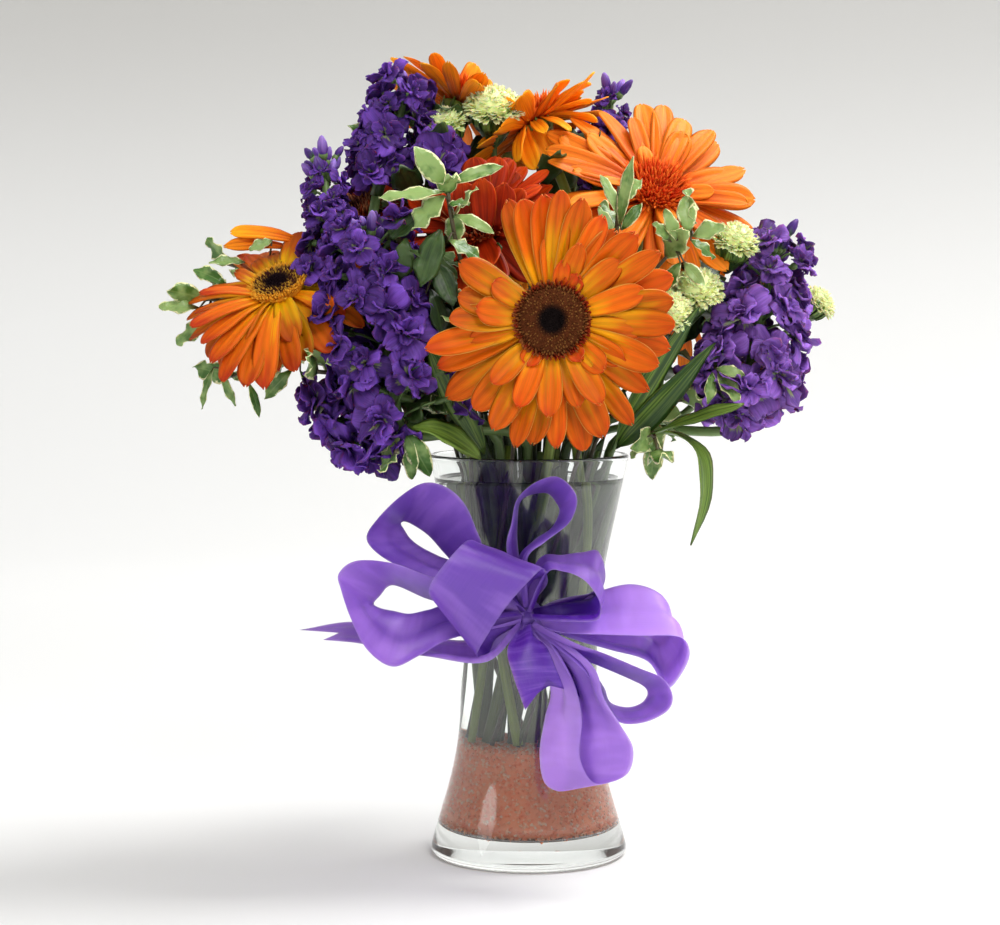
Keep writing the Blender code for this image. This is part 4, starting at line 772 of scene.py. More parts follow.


# Ribbon

# Each strand: its painted light and shade level, the painted shade on the inside of its loop, and rows of a
# point of its middle line with the way and distance from there to one of its edges.
BOW = {
    "upper_left_loop": (0.3, 0.06, (
        (-1, -49, 135, -1.7, -5.2, 2.1), (-26, -60, 158, 6, -14.5, 6), (-33, -66, 168, 8.5, -16.4, 6.7),
        (-40, -70, 180, 9.3, -14.9, 9.1), (-48, -72, 187, 8.4, -14.5, 10.7),
        (-56, -70, 189, 5.4, -15.8, 10.8), (-63, -68, 185, 0.7, -17.8, 8.1),
        (-68, -66, 178, -5.6, -17.7, 3.8), (-69, -64, 171, -9.9, -15.6, 1.7),
        (-64, -62, 165, -10.2, -15.4, 0.1), (-54, -60, 159, -8.6, -16.3, -1.2),
        (-41, -58, 153, -5.9, -14.3, -2.4), (-3, -49, 135, -1.7, -5.3, -0.6),
    )),
    "lower_left_loop": (0.54, 0.06, (
        (-2, -50, 133, -0.5, -5.5, 2.2), (-36, -64, 144, 1.9, -15.1, 7.4),
        (-49, -70, 147, 1.5, -18.1, 7.7), (-65, -76, 154, -0.7, -18, 7.8),
        (-76, -80, 155, -6.7, -16.2, 8.1), (-82, -82, 150, -9.1, -15.2, 7),
        (-83, -83, 144, -6.7, -17, 5.2), (-79, -84, 136, -5.8, -17.4, -0.7),
        (-72, -84, 128, -5.3, -15.1, -7.6), (-62, -82, 123, -3.4, -13.2, -11.2),
        (-51, -76, 126, -1.3, -15.3, -9.1), (-38, -68, 130, 0, -14.9, -6.4),
        (-3, -50, 131, -1, -5.3, -1.1),
    )),
    "left_tail": (0.5, 0, (
        (-4, -50, 128, 0.5, -4.8, -2.3), (-23, -60, 115, 2.5, -13.8, -3.9),
        (-47, -66, 117, -0.7, -18.4, -2), (-65, -68, 120, 1, -18.5, -1.8),
        (-85, -70, 125, 2.8, -18.2, -2.9), (-107, -72, 124, 7.5, -17.9, 0),
    )),
    "top_loop": (0.36, 0.14, (
        (-2, -50, 137, -1.7, -5.4, 1.2), (-8, -62, 164, -2.8, -14.9, 1.5), (-7, -68, 179, -1.4, -18, 1.6),
        (-5, -72, 190, -0.7, -19, 2.2), (2, -74, 196, 0.7, -18.8, 4.3), (11, -76, 198, 2, -18.4, 5.5),
        (17, -76, 193, 3.6, -18.2, 5), (19, -76, 187, 4.1, -18.3, 3.9), (15, -74, 178, 4.1, -18.5, 2.9),
        (5, -70, 170, 2.6, -17.8, 1.2), (-3, -62, 160, 2, -15.1, 1.6), (-1, -50, 136, 1, -5.6, 0.2),
    )),
    "upper_right_loop": (0.4, 0.4, (
        (-1, -50, 135, -0.2, -5.2, -1.6), (7, -62, 157, 1.1, -15.8, -1.5),
        (17, -68, 159, 0.7, -18.5, -2.2), (27, -72, 158, 0.1, -17.6, -5.2), (34, -74, 154, -0.4, -15, -10),
        (36, -72, 145, -1, -16.7, -7), (32, -68, 138, 0.5, -17.6, -4.9), (22, -64, 136, 0.4, -15.9, -4.4),
        (12, -58, 134, 0.6, -12.3, -3.4), (2, -50, 131, 0, -5.3, -1.3),
    )),
    "right_loop": (0.92, 0.36, (
        (3, -50, 130, 0, -4.9, -2.4), (19, -60, 131, -1.2, -14.3, -5.5), (36, -68, 135, -0.5, -15.5, -9),
        (51, -74, 137, 1.8, -14, -10.9), (66, -76, 136, 6, -13.2, -10.2), (72, -74, 130, 5.8, -12.6, -11),
        (72, -68, 120, 3.6, -13, -11.4), (66, -62, 111, 1.3, -11.8, -13), (57, -58, 118, 1.2, -16.7, -6.5),
        (39, -56, 121, 1, -14.7, -4.4), (21, -54, 124, 0.3, -10.6, -2.8), (3, -49, 129, 0, -5.3, -1.3),
    )),
    "lower_right_loop": (0.66, 0.2, (
        (2, -50, 126, 0.7, -5.3, 2.7), (21, -60, 116, 1, -14.9, 5), (36, -66, 111, 0.7, -18.7, 5.9),
        (52, -72, 105, 1.1, -18.7, 5.8), (61, -75, 101, 3.4, -18.4, 5.1), (64, -76, 95, 5.3, -17.9, 2.7),
        (61, -75, 89, 5.6, -17.7, 1), (52, -73, 85, 3.3, -18.1, -0.8), (42, -70, 86, 1.3, -18.3, -1.8),
        (36, -66, 95, -1.5, -18.7, 0.1), (28, -60, 106, -1.8, -15.1, 1.8), (4, -50, 125, -1.8, -5.3, -0.3),
    )),
    "bottom_loop": (0.8, 0.26, (
        (1, -51, 127, -4, 4.1, -1), (22, -66, 110, -8.6, 12.3, -0.6), (29, -74, 95, -7.4, 16.2, -0.7),
        (34, -82, 82, -10.1, 15.8, -2.2), (37, -88, 71, -13, 13.4, -2.7), (35, -88, 59, -13, 13.4, -3.1),
        (28, -82, 51, -11, 15.1, -5.2), (19, -74, 52, -11.2, 15.2, -3.5), (15, -68, 65, -9.6, 16.3, -2.3),
        (17, -64, 82, -8.8, 16.7, -2.4), (16, -60, 99, -5.2, 14.2, -2.7), (1, -50, 126, -3, 4.8, -1.6),
    )),
    "lower_tail": (0.1, 0, (
        (1, -54, 126, -5.4, -3.8, 0), (4, -62, 117, -14.5, -9, -0.2), (9, -68, 103, -16.2, -10, 0.6),
        (14, -72, 89, -15.7, -10.7, -0.2),
    )),
    "front_loop": (0.2, 0.08, (
        (-1, -50, 135, -3, -4.2, -2), (-7, -64, 155, -15.7, 0, 7.4), (-8, -76, 162, -16.7, 0, 7.5),
        (-11, -84, 165, -17.6, -1.8, 7.2), (-16, -95, 162, -16.9, -3.5, 8.2),
        (-26, -100, 151, -15.8, -5.5, 9.4), (-33, -97, 140, -14.1, -6.1, 11.7),
        (-36, -86, 130, -10.8, -7.1, 14.7), (-29, -74, 125, -8.9, -12.1, 13.1),
        (-18, -62, 126, -6.2, -13, 8.9), (-4, -50, 131, -1.5, -4.9, 3.1),
    )),
}
BOW_STEPS = 8
BOW_COLUMNS = 17
PLEATS = 2.0
PLEAT_DEPTH = 6.6
TAIL_NOTCH = 14.0
KNOT_ROWS = ((0, -1), (0.45, -0.9), (0.78, -0.6), (0.95, -0.25), (1, 0), (0.95, 0.25), (0.78, 0.6),
             (0.45, 0.9), (0, 1))


def ribbon_grid(controls, notch):
    """Grid over a strand, flat where it is open and in pleats where the knot gathers it, and its length."""
    line = smooth_path([row[:3] for row in controls], BOW_STEPS)
    edges = smooth_path([row[3:] for row in controls], BOW_STEPS)
    across = np.linspace(-1, 1, BOW_COLUMNS)
    ripple = np.sin((np.abs((across * PLEATS + 0.5) % 2 - 1) * 2 - 1) * math.pi / 2)
    grid = []
    for i, ((point, tangent, _, _), edge) in enumerate(zip(frames_along(line), edges)):
        up = tangent.cross(edge).normalized()
        open_share = min(edge.length / (RIBBON_WIDTH / 2), 1.0)
        fold = math.sqrt(max(0.0, 1 - open_share ** 2)) * RIBBON_WIDTH / (PLEAT_DEPTH * PLEATS)
        cut = notch * (1 - np.abs(across)) * (i / (len(line) - 1)) ** 8
        flat = np.array(point) + np.outer(across, edge)
        grid.append(flat + np.outer(ripple * fold, up) - np.outer(cut, tangent))
    return np.array(grid), sum((b - a).length for a, b in zip(line, line[1:]))


def shade_inside(skin, shape, painted_inner_shade):
    """Painted shade: lowers the tint on the face of the last sheet that looks to the middle of its loop."""
    rows, cols = shape
    away = np.linalg.norm(skin.points[-1] - skin.points[-1].mean(axis=0), axis=1)
    inner = np.zeros((rows, cols), bool)
    inner[1:-1, 1:-1] = True
    top = np.flatnonzero(inner.ravel())
    under = np.arange(rows * cols, len(away))
    skin.tints[-1][top if away[top].mean() < away[under].mean() else under] -= painted_inner_shade


def build_bow():
    skin = Skin()
    total = 0.0
    for name, (shade, painted_inner_shade, controls) in BOW.items():
        grid, length = ribbon_grid(controls, TAIL_NOTCH if name.endswith("tail") else 0.0)
        # The strand's tint is painted light and shade: its brightness stands for how it is lit.
        skin.sheet(grid, shade, RIBBON_CLOTH)
        shade_inside(skin, grid.shape[:2], painted_inner_shade)
        total += length
    knot = Skin()
    knot.lathe(KNOT_ROWS, 40)
    points = knot.points[0]
    pleat = 1 + 0.07 * np.sin(9 * np.arctan2(points[:, 1], points[:, 0]))
    points = points * np.array(KNOT_SIZE) * np.stack([pleat, pleat, np.ones(len(points))], -1)
    points += np.array([0.0, -(outline_radius(BAND_HEIGHT) + KNOT_GAP + KNOT_SIZE[1]), KNOT_HEIGHT])
    # The knot's tint of 0.3 is its painted light and shade level.
    skin.add(points, knot.faces, knot.paint[0], 0.3)
    bow = skin.make("satin_bow", SATIN, "ribbon", ["ribbon_bow"], crease=38)


def build_band():
    skin = Skin()
    steps = np.linspace(BAND_HEIGHT - BAND_WIDTH / 2, BAND_HEIGHT + BAND_WIDTH / 2, 9)
    rows = [(outline_radius(z) + BAND_GAP + BAND_CLOTH + BAND_FOLD * math.sin(i * 1.9), z)
            for i, z in enumerate(steps)]
    rows += [(outline_radius(z) + BAND_GAP, z) for z in steps[::-1]]
    skin.lathe(rows, 96, closed=True)
    hoop = skin.make("satin_band", SATIN, "ribbon", ["ribbon_band"])
    around = math.tau * (outline_radius(BAND_HEIGHT) + 1.0)


# Stems

class Stem:
    """A stem's straight run in the vase and its curve from the rim to its head."""

    def __init__(self, radius, base, axis, reach=0.42):
        self.radius = radius
        self.base = Vector(base)
        self.axis = Vector(axis)
        self.reach = reach
        self.slot = 0j

    def straight_at(self, height):
        share = (height - STEM_FOOT_HEIGHT) / (STEM_RIM_HEIGHT - STEM_FOOT_HEIGHT)
        turn = complex(math.cos(BUNCH_TWIST), math.sin(BUNCH_TWIST))
        place = self.slot * ((1 - share) * BUNCH_FOOT_RADIUS + share * BUNCH_RIM_RADIUS * turn)
        return Vector((place.real, place.imag, height))

    def path(self):
        """Foot, straight run, and a curve from the rim to the base of the head."""
        rim = self.straight_at(STEM_RIM_HEIGHT + RIM_ROOM)
        along = (rim - self.straight_at(STEM_FOOT_HEIGHT)).normalized()
        span = (self.base - rim).length
        room = max(self.base.z - rim.z - RIM_ROOM, RIM_ROOM) / max(self.axis.z, 0.1)
        reach = min(span * self.reach, room)
        points = (rim, rim + along * span * 0.35, self.base - self.axis * reach, self.base)
        way = [self.straight_at(z) for z in np.linspace(STEM_FOOT_HEIGHT, STEM_RIM_HEIGHT, STRAIGHT_POINTS)]
        return way + bezier_path(points, CURVE_STEPS)

    def strain(self, slot):
        """How far the stem would be at the rim from where its head wants it, squared."""
        self.slot = slot
        want = self.base.to_2d() * STEM_LEAN
        return (self.straight_at(STEM_RIM_HEIGHT).to_2d() - want).length_squared


def whorl(i, count):
    """Place i of a number spread evenly over a disc, as a complex number."""
    angle = GOLDEN_ANGLE * i
    return math.sqrt((i + 0.5) / count) * complex(math.cos(angle), math.sin(angle))


def give_slots(stems):
    """Gives each stem a place in the bunch near the side its head leans to, by swapping pairs."""
    for i, stem in enumerate(stems):
        stem.slot = whorl(i, len(stems))
    for _ in range(SLOT_ROUNDS):
        for i, a in enumerate(stems):
            for b in stems[:i]:
                slot_a, slot_b = a.slot, b.slot
                kept = a.strain(slot_a) + b.strain(slot_b)
                swapped = a.strain(slot_b) + b.strain(slot_a)
                if kept <= swapped:
                    a.slot, b.slot = slot_a, slot_b


# Gerberas

class Gerbera(namedtuple("Gerbera", "name place azimuth elevation radius eye rays droop petals disc seed")):
    """One gerbera: where its face is and looks, its size, rays in each layer and finish."""

    @property
    def centre(self):
        return Vector(self.place)

    @property
    def axis(self):
        return facing(self.azimuth, self.elevation)

    @property
    def plate_radius(self):
        return self.eye * GERBERA_PLATE_SHARE

    @property
    def stem_base(self):
        return self.centre - self.axis * (GERBERA_PLATE / 2 + CLEARANCE + GERBERA_CUP_DEPTH - 1)


GERBERAS = (
    Gerbera("gerbera_front", (11, -85, 278), 0, 3, 61, 19, (18, 12, 6), 2, "orange", "brown", 11),
    Gerbera("gerbera_left", (-124, -44, 293), -24, 54, 53, 15, (15, 7, 0), -30, "golden", "dark", 12),
    Gerbera("gerbera_right", (64, -14, 342), 15, 42, 56, 14, (14, 8, 3), -2, "clear", "ragged", 13),
    Gerbera("gerbera_middle", (-25, -34, 324), -10, 46, 46, 13, (12, 6, 0), 8, "red", "ember", 14),
    Gerbera("gerbera_top_left", (-36, 22, 389), 130, 52, 44, 13, (11, 5, 0), 4, "amber", "ragged", 15),
    Gerbera("gerbera_top", (2, 14, 379), -120, 56, 42, 13, (11, 5, 0), 0, "amber", "ragged", 16),
    Gerbera("gerbera_behind", (-88, 14, 331), -46, 52, 44, 14, (11, 5, 0), -6, "red", "ember", 17),
    Gerbera("gerbera_back", (6, 88, 313), 178, 34, 52, 16, (12, 5, 0), -6, "orange", "brown", 18),
    Gerbera("gerbera_back_right", (82, 62, 289), 128, 26, 48, 15, (11, 5, 0), -8, "amber", "ragged", 19),
)
PETAL_ROOT_DEPTH = 4.5
PETAL_ROLL = 11
PETAL_SAG = 22
FAR_SIDE = 10
RAY_GAIN = 1.3

# Each petal layer: rise in degrees, share of the full length, step up the axis, half width share.
GERBERA_LAYERS = ((0.0, 1.0, -1.1, 0.122), (9.0, 0.84, 0.0, 0.115), (17.0, 0.52, 0.9, 0.085))

# Range of tints in each layer: the short inner petals are the reddest.
LAYER_TINTS = ((0.0, 0.8), (0.15, 0.95), (1.1, 1.6))
WIDTH_GAIN = {"gerbera_left": 1.12, "gerbera_right": 1.1, "gerbera_middle": 1.3, "gerbera_top": 1.1}

# The front flower's petals as they stand in the photo: degrees from +X, and tip distance.
FRONT_RAYS = (
    (
        (110, 63), (104, 60), (94, 61), (86, 63), (76, 61), (64, 57), (55, 54), (46, 59), (32, 63),
        (20, 62), (9, 60), (-2, 60), (-13, 60), (-23, 57), (-36, 58), (-52, 64), (-66, 62), (-76, 65),
        (-88, 62), (-99, 61), (-106, 64), (-118, 61), (-131, 57), (-144, 64), (-158, 60), (-167, 63),
        (-180, 50), (165, 47), (148, 53),
    ),
    (
        (91, 42), (70, 40), (41, 44), (18, 47), (-7, 45), (-30, 41), (-44, 37), (-60, 48), (-73, 45),
        (-92, 48), (-111, 46), (-133, 43), (-166, 41), (172, 38), (147, 34),
    ),
    (
        (79, 30), (60, 26), (-54, 25), (-120, 26),
    ),
)

# Petals that show at the front, as they stand in the photo: tip, half width and tint.
EXTRA_PETALS = {
    "gerbera_right": (
        ((10, 0, 373), 6, 0.5), ((9, -8, 364), 6, 0.35), ((22, 10, 382), 6, 0.6),
        ((16, -16, 356), 5.5, 0.2), ((59, 26, 390), 6.8, 0.6), ((70, 26, 389), 6.5, 0.45),
        ((81, 24, 382), 6.8, 0.7), ((95, 22, 376), 6.3, 0.5), ((37, 18, 386), 6, 0.4),
    ),
    "gerbera_middle": (
        ((-28, -24, 359), 8.5, 0.3), ((-16, -22, 360), 8.5, 0.5), ((-39, -30, 349), 7, 0.6),
        ((-44, -36, 338), 6, 0.4), ((9, -20, 353), 4.5, 0.9), ((6, -28, 345), 4.5, 1),
        ((-2, -14, 355), 5, 0.7), ((-9, -16, 359), 6, 0.5),
    ),
    "gerbera_left": (
        ((-162, -60, 291), 4, 1.1), ((-164, -72, 275), 5, 1.1), ((-158, -76, 267), 5.5, 0.9),
        ((-153, -82, 258), 6, 0.8), ((-147, -86, 249), 6.5, 0.9), ((-136, -88, 247), 7, 0.6),
        ((-127, -88, 245), 7, 1), ((-113, -80, 254), 6.5, 0.7), ((-147, -40, 302), 4.5, 0.3),
        ((-138, -22, 308), 5, 0.1), ((-131, -16, 311), 5, 0), ((-122, -16, 313), 5.5, 0),
        ((-112, -20, 307), 5, 0.1),
    ),
    "gerbera_top": (
        ((-5, -10, 359), 6, 1), ((4, -6, 355), 6, 1.1), ((12, 0, 360), 6, 0.9), ((32, 20, 400), 6.5, 0.7),
        ((32, 10, 391), 3.5, 0.9), ((21, -6, 374), 4.5, 1.3), ((8, -10, 373), 4, 1.4),
        ((35, 6, 380), 4.5, 0.7), ((28, 14, 396), 5.5, 0.4),
    ),
    "gerbera_top_left": (
        ((-65, 16, 414), 5, 0.3), ((-28, 40, 412), 7.5, 0.5), ((-22, 44, 405), 6, 0.6),
        ((-41, 30, 401), 6, 0.2),
    ),
}

# Petals of each colour that look out between the flowers: root, tip, half width and tint.
STRAY_PETALS = {
    "amber": (
        ((-117, -16, 318), (-151, -22, 322), 4.2, 0.7), ((-123, -18, 315), (-154, -24, 315), 4, 0.1),
    ),
    "red": (
        ((-101, -20, 303), (-106, -10, 325), 6, 0.5), ((-29, -50, 322), (-32, -56, 345), 6.5, 0.4),
        ((-22, -54, 321), (-23, -60, 347), 7, 0.7), ((-15, -50, 322), (-12, -56, 345), 6.5, 0.3),
        ((-10, -46, 326), (-3, -50, 342), 5.5, 0.8), ((-35, -46, 327), (-42, -52, 341), 5.5, 0.6),
    ),
}


def petal_angles(flower, layer, draw):
    """(turn, tip distance) for each petal of a layer."""
    if flower.name == "gerbera_front":
        return [(math.radians(turn), reach) for turn, reach in FRONT_RAYS[layer]]
    count = round(flower.rays[layer] * RAY_GAIN)
    share = GERBERA_LAYERS[layer][1]
    reach = [flower.radius * share * draw.uniform(0.94, 1.04) for _ in range(count)]
    turn = [math.tau * (i + 0.5 * layer + draw.uniform(-0.18, 0.18)) / count for i in range(count)]
    return list(zip(turn, reach))


def add_petal(skin, root, tip, face, half_width, tint, draw):
    """One petal from its root to its tip, arched a little."""
    span = tip - root
    out = span.normalized()
    side = face.cross(out).normalized()
    arch = draw.uniform(8, 20)
    skin.blade(root, (out, side, out.cross(side)), span.length * 1.03, half_width, RAY, rows=14, cols=9,
               rise=arch, bend=-2 * arch, roll=draw.uniform(-10, 14), twist=draw.uniform(-14, 14),
               cup=draw.uniform(-0.05, 0.35), ridge=0.34, wave=0.5, waves=1.4, phase=draw.random(),
               notch=draw.uniform(0.2, 2.0), thickness=PETAL_THICKNESS, tint=tint)


def build_petals(flower):
    draw = random.Random(flower.seed * 31)
    skin = Skin()
    centre, axis = flower.centre, flower.axis
    axes = across_axes(axis)
    start = flower.plate_radius - PETAL_ROOT_DEPTH
    rows = 10 if centre.y > FAR_SIDE else 14
    for layer, (rise, _, step, width) in enumerate(GERBERA_LAYERS):
        for turn, reach in petal_angles(flower, layer, draw):
            out, side = spoke(axes, turn)
            root = centre + axis * (step + draw.uniform(-0.5, 0.5)) + out * start
            hang = 0.5 - 0.5 * out.z / max(1 - axis.z ** 2, 0.1) ** 0.5
            sag = (PETAL_SAG * axis.z - flower.droop) * hang
            wide = flower.radius * width * draw.uniform(0.78, 1.08) * WIDTH_GAIN.get(flower.name, 1.0)
            skin.blade(root, (out, side, axis), reach - start, wide, RAY, rows=rows, cols=9,
                       rise=rise + draw.uniform(-5, 8), bend=draw.uniform(-12, 8) - sag,
                       curl=draw.uniform(-16, 18), roll=PETAL_ROLL * draw.uniform(0.1, 1.6),
                       twist=draw.uniform(-16, 16), cup=draw.uniform(-0.05, 0.4), ridge=0.34, wave=0.5,
                       waves=1.4, phase=draw.random(), notch=draw.uniform(0.2, 2.2),
                       thickness=PETAL_THICKNESS, tint=draw.uniform(*LAYER_TINTS[layer]))
    for tip, half_width, tint in EXTRA_PETALS.get(flower.name, ()):
        way = Vector(tip) - centre
        flat = (way - axis * way.dot(axis)).normalized()
        add_petal(skin, centre + flat * start, Vector(tip), axis, half_width, tint, draw)
    name = flower.name + "_petals"
    slot = "petal_" + (flower.petals if flower.petals in ("red", "amber") else "orange")
    skin.make(name + "_look", PETALS[flower.petals], slot, [name])


def build_stray_petals():
    draw = random.Random(77)
    for colour, petals in STRAY_PETALS.items():
        skin = Skin()
        for root, tip, half_width, tint in petals:
            add_petal(skin, Vector(root), Vector(tip), Vector((0, -0.8, 0.6)), half_width, tint, draw)
        skin.make("loose_petals_" + colour, PETALS[colour], "petal_" + colour)


# The disc's dome under its florets: share of its radius, and height.
DISC_DOME = ((0, -2), (0.8, -2), (0.93, 1.5), (0.75, 4.4), (0.45, 4.6), (0.2, 3.6), (0, 3.2))
RAGGED_DISCS = ("ragged", "ember")
RAGGED_FLORETS, NEAT_FLORETS = 420, 620

# Frills round a disc: count, and shortest and longest length.
RAGGED_FRILLS, NEAT_FRILLS = (46, 5, 11), (64, 2.4, 4.2)


def build_eye(flower):
    """Disc of florets in golden-angle whorls, rimmed by short frilled ones."""
    draw = random.Random(flower.seed * 7)
    skin = Skin()
    centre, axis, edge = flower.centre, flower.axis, flower.eye
    axes = across_axes(axis)
    low = GERBERA_PLATE / 2 - 1.0
    ragged = flower.disc in RAGGED_DISCS
    skin.lathe([(edge * share, low + height) for share, height in DISC_DOME], 32, centre, axis, 0.2)
    flat = (skin.points[-1] - np.array(centre)) @ np.array(axes).T
    skin.paint[-1][:, 1] = np.minimum(1.0, np.hypot(*flat.T) / edge)
    number = RAGGED_FLORETS if ragged else NEAT_FLORETS
    rods = []
    for k in range(number):
        share = math.sqrt((k + 0.5) / number)
        away = spoke(axes, GOLDEN_ANGLE * k)[0]
        top = low + 4.6 - 4.2 * max(0.0, share - 0.62) ** 1.3 - 1.6 * max(0.0, 0.45 - share) ** 1.2
        root = centre + away * share * edge * 0.912 + axis * (top - 1.6)
        length = (1.4 + 1.5 * share) * draw.uniform(0.8, 1.25)
        if ragged:
            length = (3.0 + 4.5 * share) * draw.uniform(0.7, 1.4)
        spread = Vector([draw.uniform(-0.22, 0.22) for _ in range(3)])
        way = (axis + away * (0.15 + 0.75 * share ** 2) + spread).normalized()
        radius = (0.34 + 0.2 * share) * draw.uniform(0.8, 1.2)
        rods.append((tuple(root), tuple(root + way * (length + 1.0)), radius, share, draw.random()))
    skin.spikes(*zip(*rods))
    frills, shortest, longest = RAGGED_FRILLS if flower.disc == "ragged" else NEAT_FRILLS
    for k in range(frills):
        out, side = spoke(axes, math.tau * (k + draw.uniform(-0.3, 0.3)) / frills)
        length = draw.uniform(shortest, longest)
        root = centre + out * (edge * 0.84) + axis * (low + 1.6)
        skin.blade(root, (out, side, axis), length, 0.75, DISC_FRILL, rows=5, cols=3,
                   rise=draw.uniform(15, 50), bend=draw.uniform(-40, 10), cup=0.4,
                   thickness=FRILL_THICKNESS, tint=draw.random())
        skin.paint[-1][:, 1] = 0.94 + 0.06 * skin.paint[-1][:, 1]
    skin.make(flower.name + "_disc", EYES[flower.disc], "gerbera_eye", [flower.name + "_eye"])


CUP_BRACTS = 36

# The two rings of bracts: share of the cup's radius, and distance under its top.
CUP_RINGS = ((0.86, 4.8), (0.62, 7.4))


def build_gerbera_stem(flower, stem):
    """Stem with the green cup of bracts under the head."""
    skin = Skin()
    centre, axis = flower.centre, flower.axis
    skin.tube(stem.path(), stem.radius, 12, flower.seed * 0.137 % 1, ridge=0.05)
    top = -(GERBERA_PLATE / 2 + 0.2)
    wide = flower.plate_radius * 0.84
    rows = [(0, top - GERBERA_CUP_DEPTH - 1), (3.4, top - GERBERA_CUP_DEPTH), (wide * 0.55, top - 7.0),
            (wide * 0.86, top - 4.4), (wide, top - 1.6), (wide, top), (0, top)]
    skin.lathe(rows, 28, centre, axis, 0.4)
    draw = random.Random(flower.seed)
    axes = across_axes(axis)
    for k in range(CUP_BRACTS):
        out, side = spoke(axes, math.tau * (k + draw.uniform(-0.2, 0.2)) / CUP_BRACTS * 2)
        ring, drop = CUP_RINGS[k % 2]
        root = centre + out * (wide * ring) + axis * (top - drop)
        skin.blade(root, (axis, side, out * -1), draw.uniform(6, 8), 1.3, CUP_BRACT, rows=5, cols=3,
                   rise=-32, bend=math.degrees(0.3), thickness=BRACT_THICKNESS, tint=draw.random())
    skin.make(flower.name + "_stalk", GREENS["gerbera"], "gerbera_stem", [flower.name + "_stem"])


# Stock

class Stock(namedtuple("Stock", "name foot top spread florets taper leaves seed")):
    """One spike of stock: its axis from foot to top, its spread, florets, taper and lance leaves."""

    @property
    def axis(self):
        return (Vector(self.top) - Vector(self.foot)).normalized()

    def at(self, share):
        return Vector(self.foot).lerp(Vector(self.top), share)


STOCKS = (
    Stock("stock_left", (-96, -46, 269), (-103, -26, 355), 20, 10, 0.4, (), 21),
    Stock("stock_front", (-64, -60, 223), (-80, -50, 323), 35, 14, 0.3,
          (((-24, -52, 209), (-42, -60, 227), (-58, -64, 225)),
           ((-22, -44, 211), (-38, -60, 245), (-50, -62, 267))), 22),
    Stock("stock_top", (-78, -8, 341), (-62, -2, 397), 22, 8, 0.1, (), 23),
    Stock("stock_right", (106, -26, 227), (126, -14, 317), 30, 12, 0.4,
          (((60, -34, 221), (100, -57, 226), (80, -60, 167)),
           ((44, -34, 213), (62, -46, 233), (92, -48, 267)),
           ((40, -34, 211), (54, -54, 245), (84, -56, 285)),
           ((52, -34, 217), (78, -50, 227), (106, -58, 237))), 24),
    Stock("stock_back", (36, 48, 337), (44, 56, 397), 21, 6, 0.5, (), 25),
    Stock("stock_back_left", (-60, 72, 255), (-74, 86, 329), 24, 8, 0.5,
          (((-46, 52, 231), (-70, 66, 225), (-92, 78, 205)),), 26),
)
FLORET_GAIN = 2.5
PALE_SPIKES = ("stock_right",)
TIP_BUDS = {"stock_left": 12, "stock_front": 9, "stock_top": 4, "stock_right": 8, "stock_back": 8,
            "stock_back_left": 9}

# Rows and columns of a floret's petals: at the front, and at the back of the bouquet.
FLORET_FINENESS = ((8, 7), (7, 5))

# Rings of a floret's petals: count, share of the length, rise and bend.
FLORET_RINGS = ((5, 1.0, 26, -34), (5, 0.8, 48, -30), (4, 0.55, 66, -10))

# Florets that show at the front of a spike, as they stand in the photo.
EXTRA_FLORETS = {
    "stock_front": (
        (-105, -50, 237), (-96, -52, 227), (-88, -54, 215), (-92, -56, 241), (-81, -58, 225),
        (-75, -56, 213), (-65, -60, 221),
    ),
    "stock_right": (
        (104, -36, 231), (112, -36, 237), (97, -34, 238), (92, -34, 252),
    ),
    "stock_top": (
        (-46, -20, 356), (-42, -14, 364),
    ),
}


def add_floret(skin, root, out, radius, draw, rows=8, cols=7):
    """Double floret: broad ruffled petals falling back, and smaller ones standing in the middle."""
    axes = across_axes(out)
    spin = draw.uniform(0, math.tau)
    for ring, (count, share, rise, bend) in enumerate(FLORET_RINGS):
        for k in range(count):
            away, side = spoke(axes, spin + math.tau * (k + 0.5 * ring + draw.uniform(-0.22, 0.22)) / count)
            length = radius * share * draw.uniform(0.78, 1.2)
            skin.blade(root + out * (0.6 * ring), (away, side, out), length, length * draw.uniform(0.34, 0.5),
                       FLORET_PETAL, rows=rows, cols=cols, rise=rise + draw.uniform(-22, 18),
                       bend=bend + draw.uniform(-34, 26), curl=draw.uniform(-40, 20),
                       roll=draw.uniform(-34, 34), twist=draw.uniform(-44, 44),
                       cup=draw.uniform(-0.5, 0.45), ridge=length * 0.02,
                       wave=length * draw.uniform(0.06, 0.13), waves=draw.uniform(1.4, 2.6),
                       phase=draw.random(), notch=length * draw.uniform(0.0, 0.2),
                       thickness=FLORET_THICKNESS, tint=draw.random())


BUD_ROWS = ((0, 0), (0.6, 0.12), (1, 0.4), (0.85, 0.7), (0.4, 0.93), (0, 1))


def add_bud(skin, root, way, length, radius, tint):
    """Closed bud, fat in the middle."""
    skin.lathe([(radius * r, length * z) for r, z in BUD_ROWS], 8, root, way, tint)


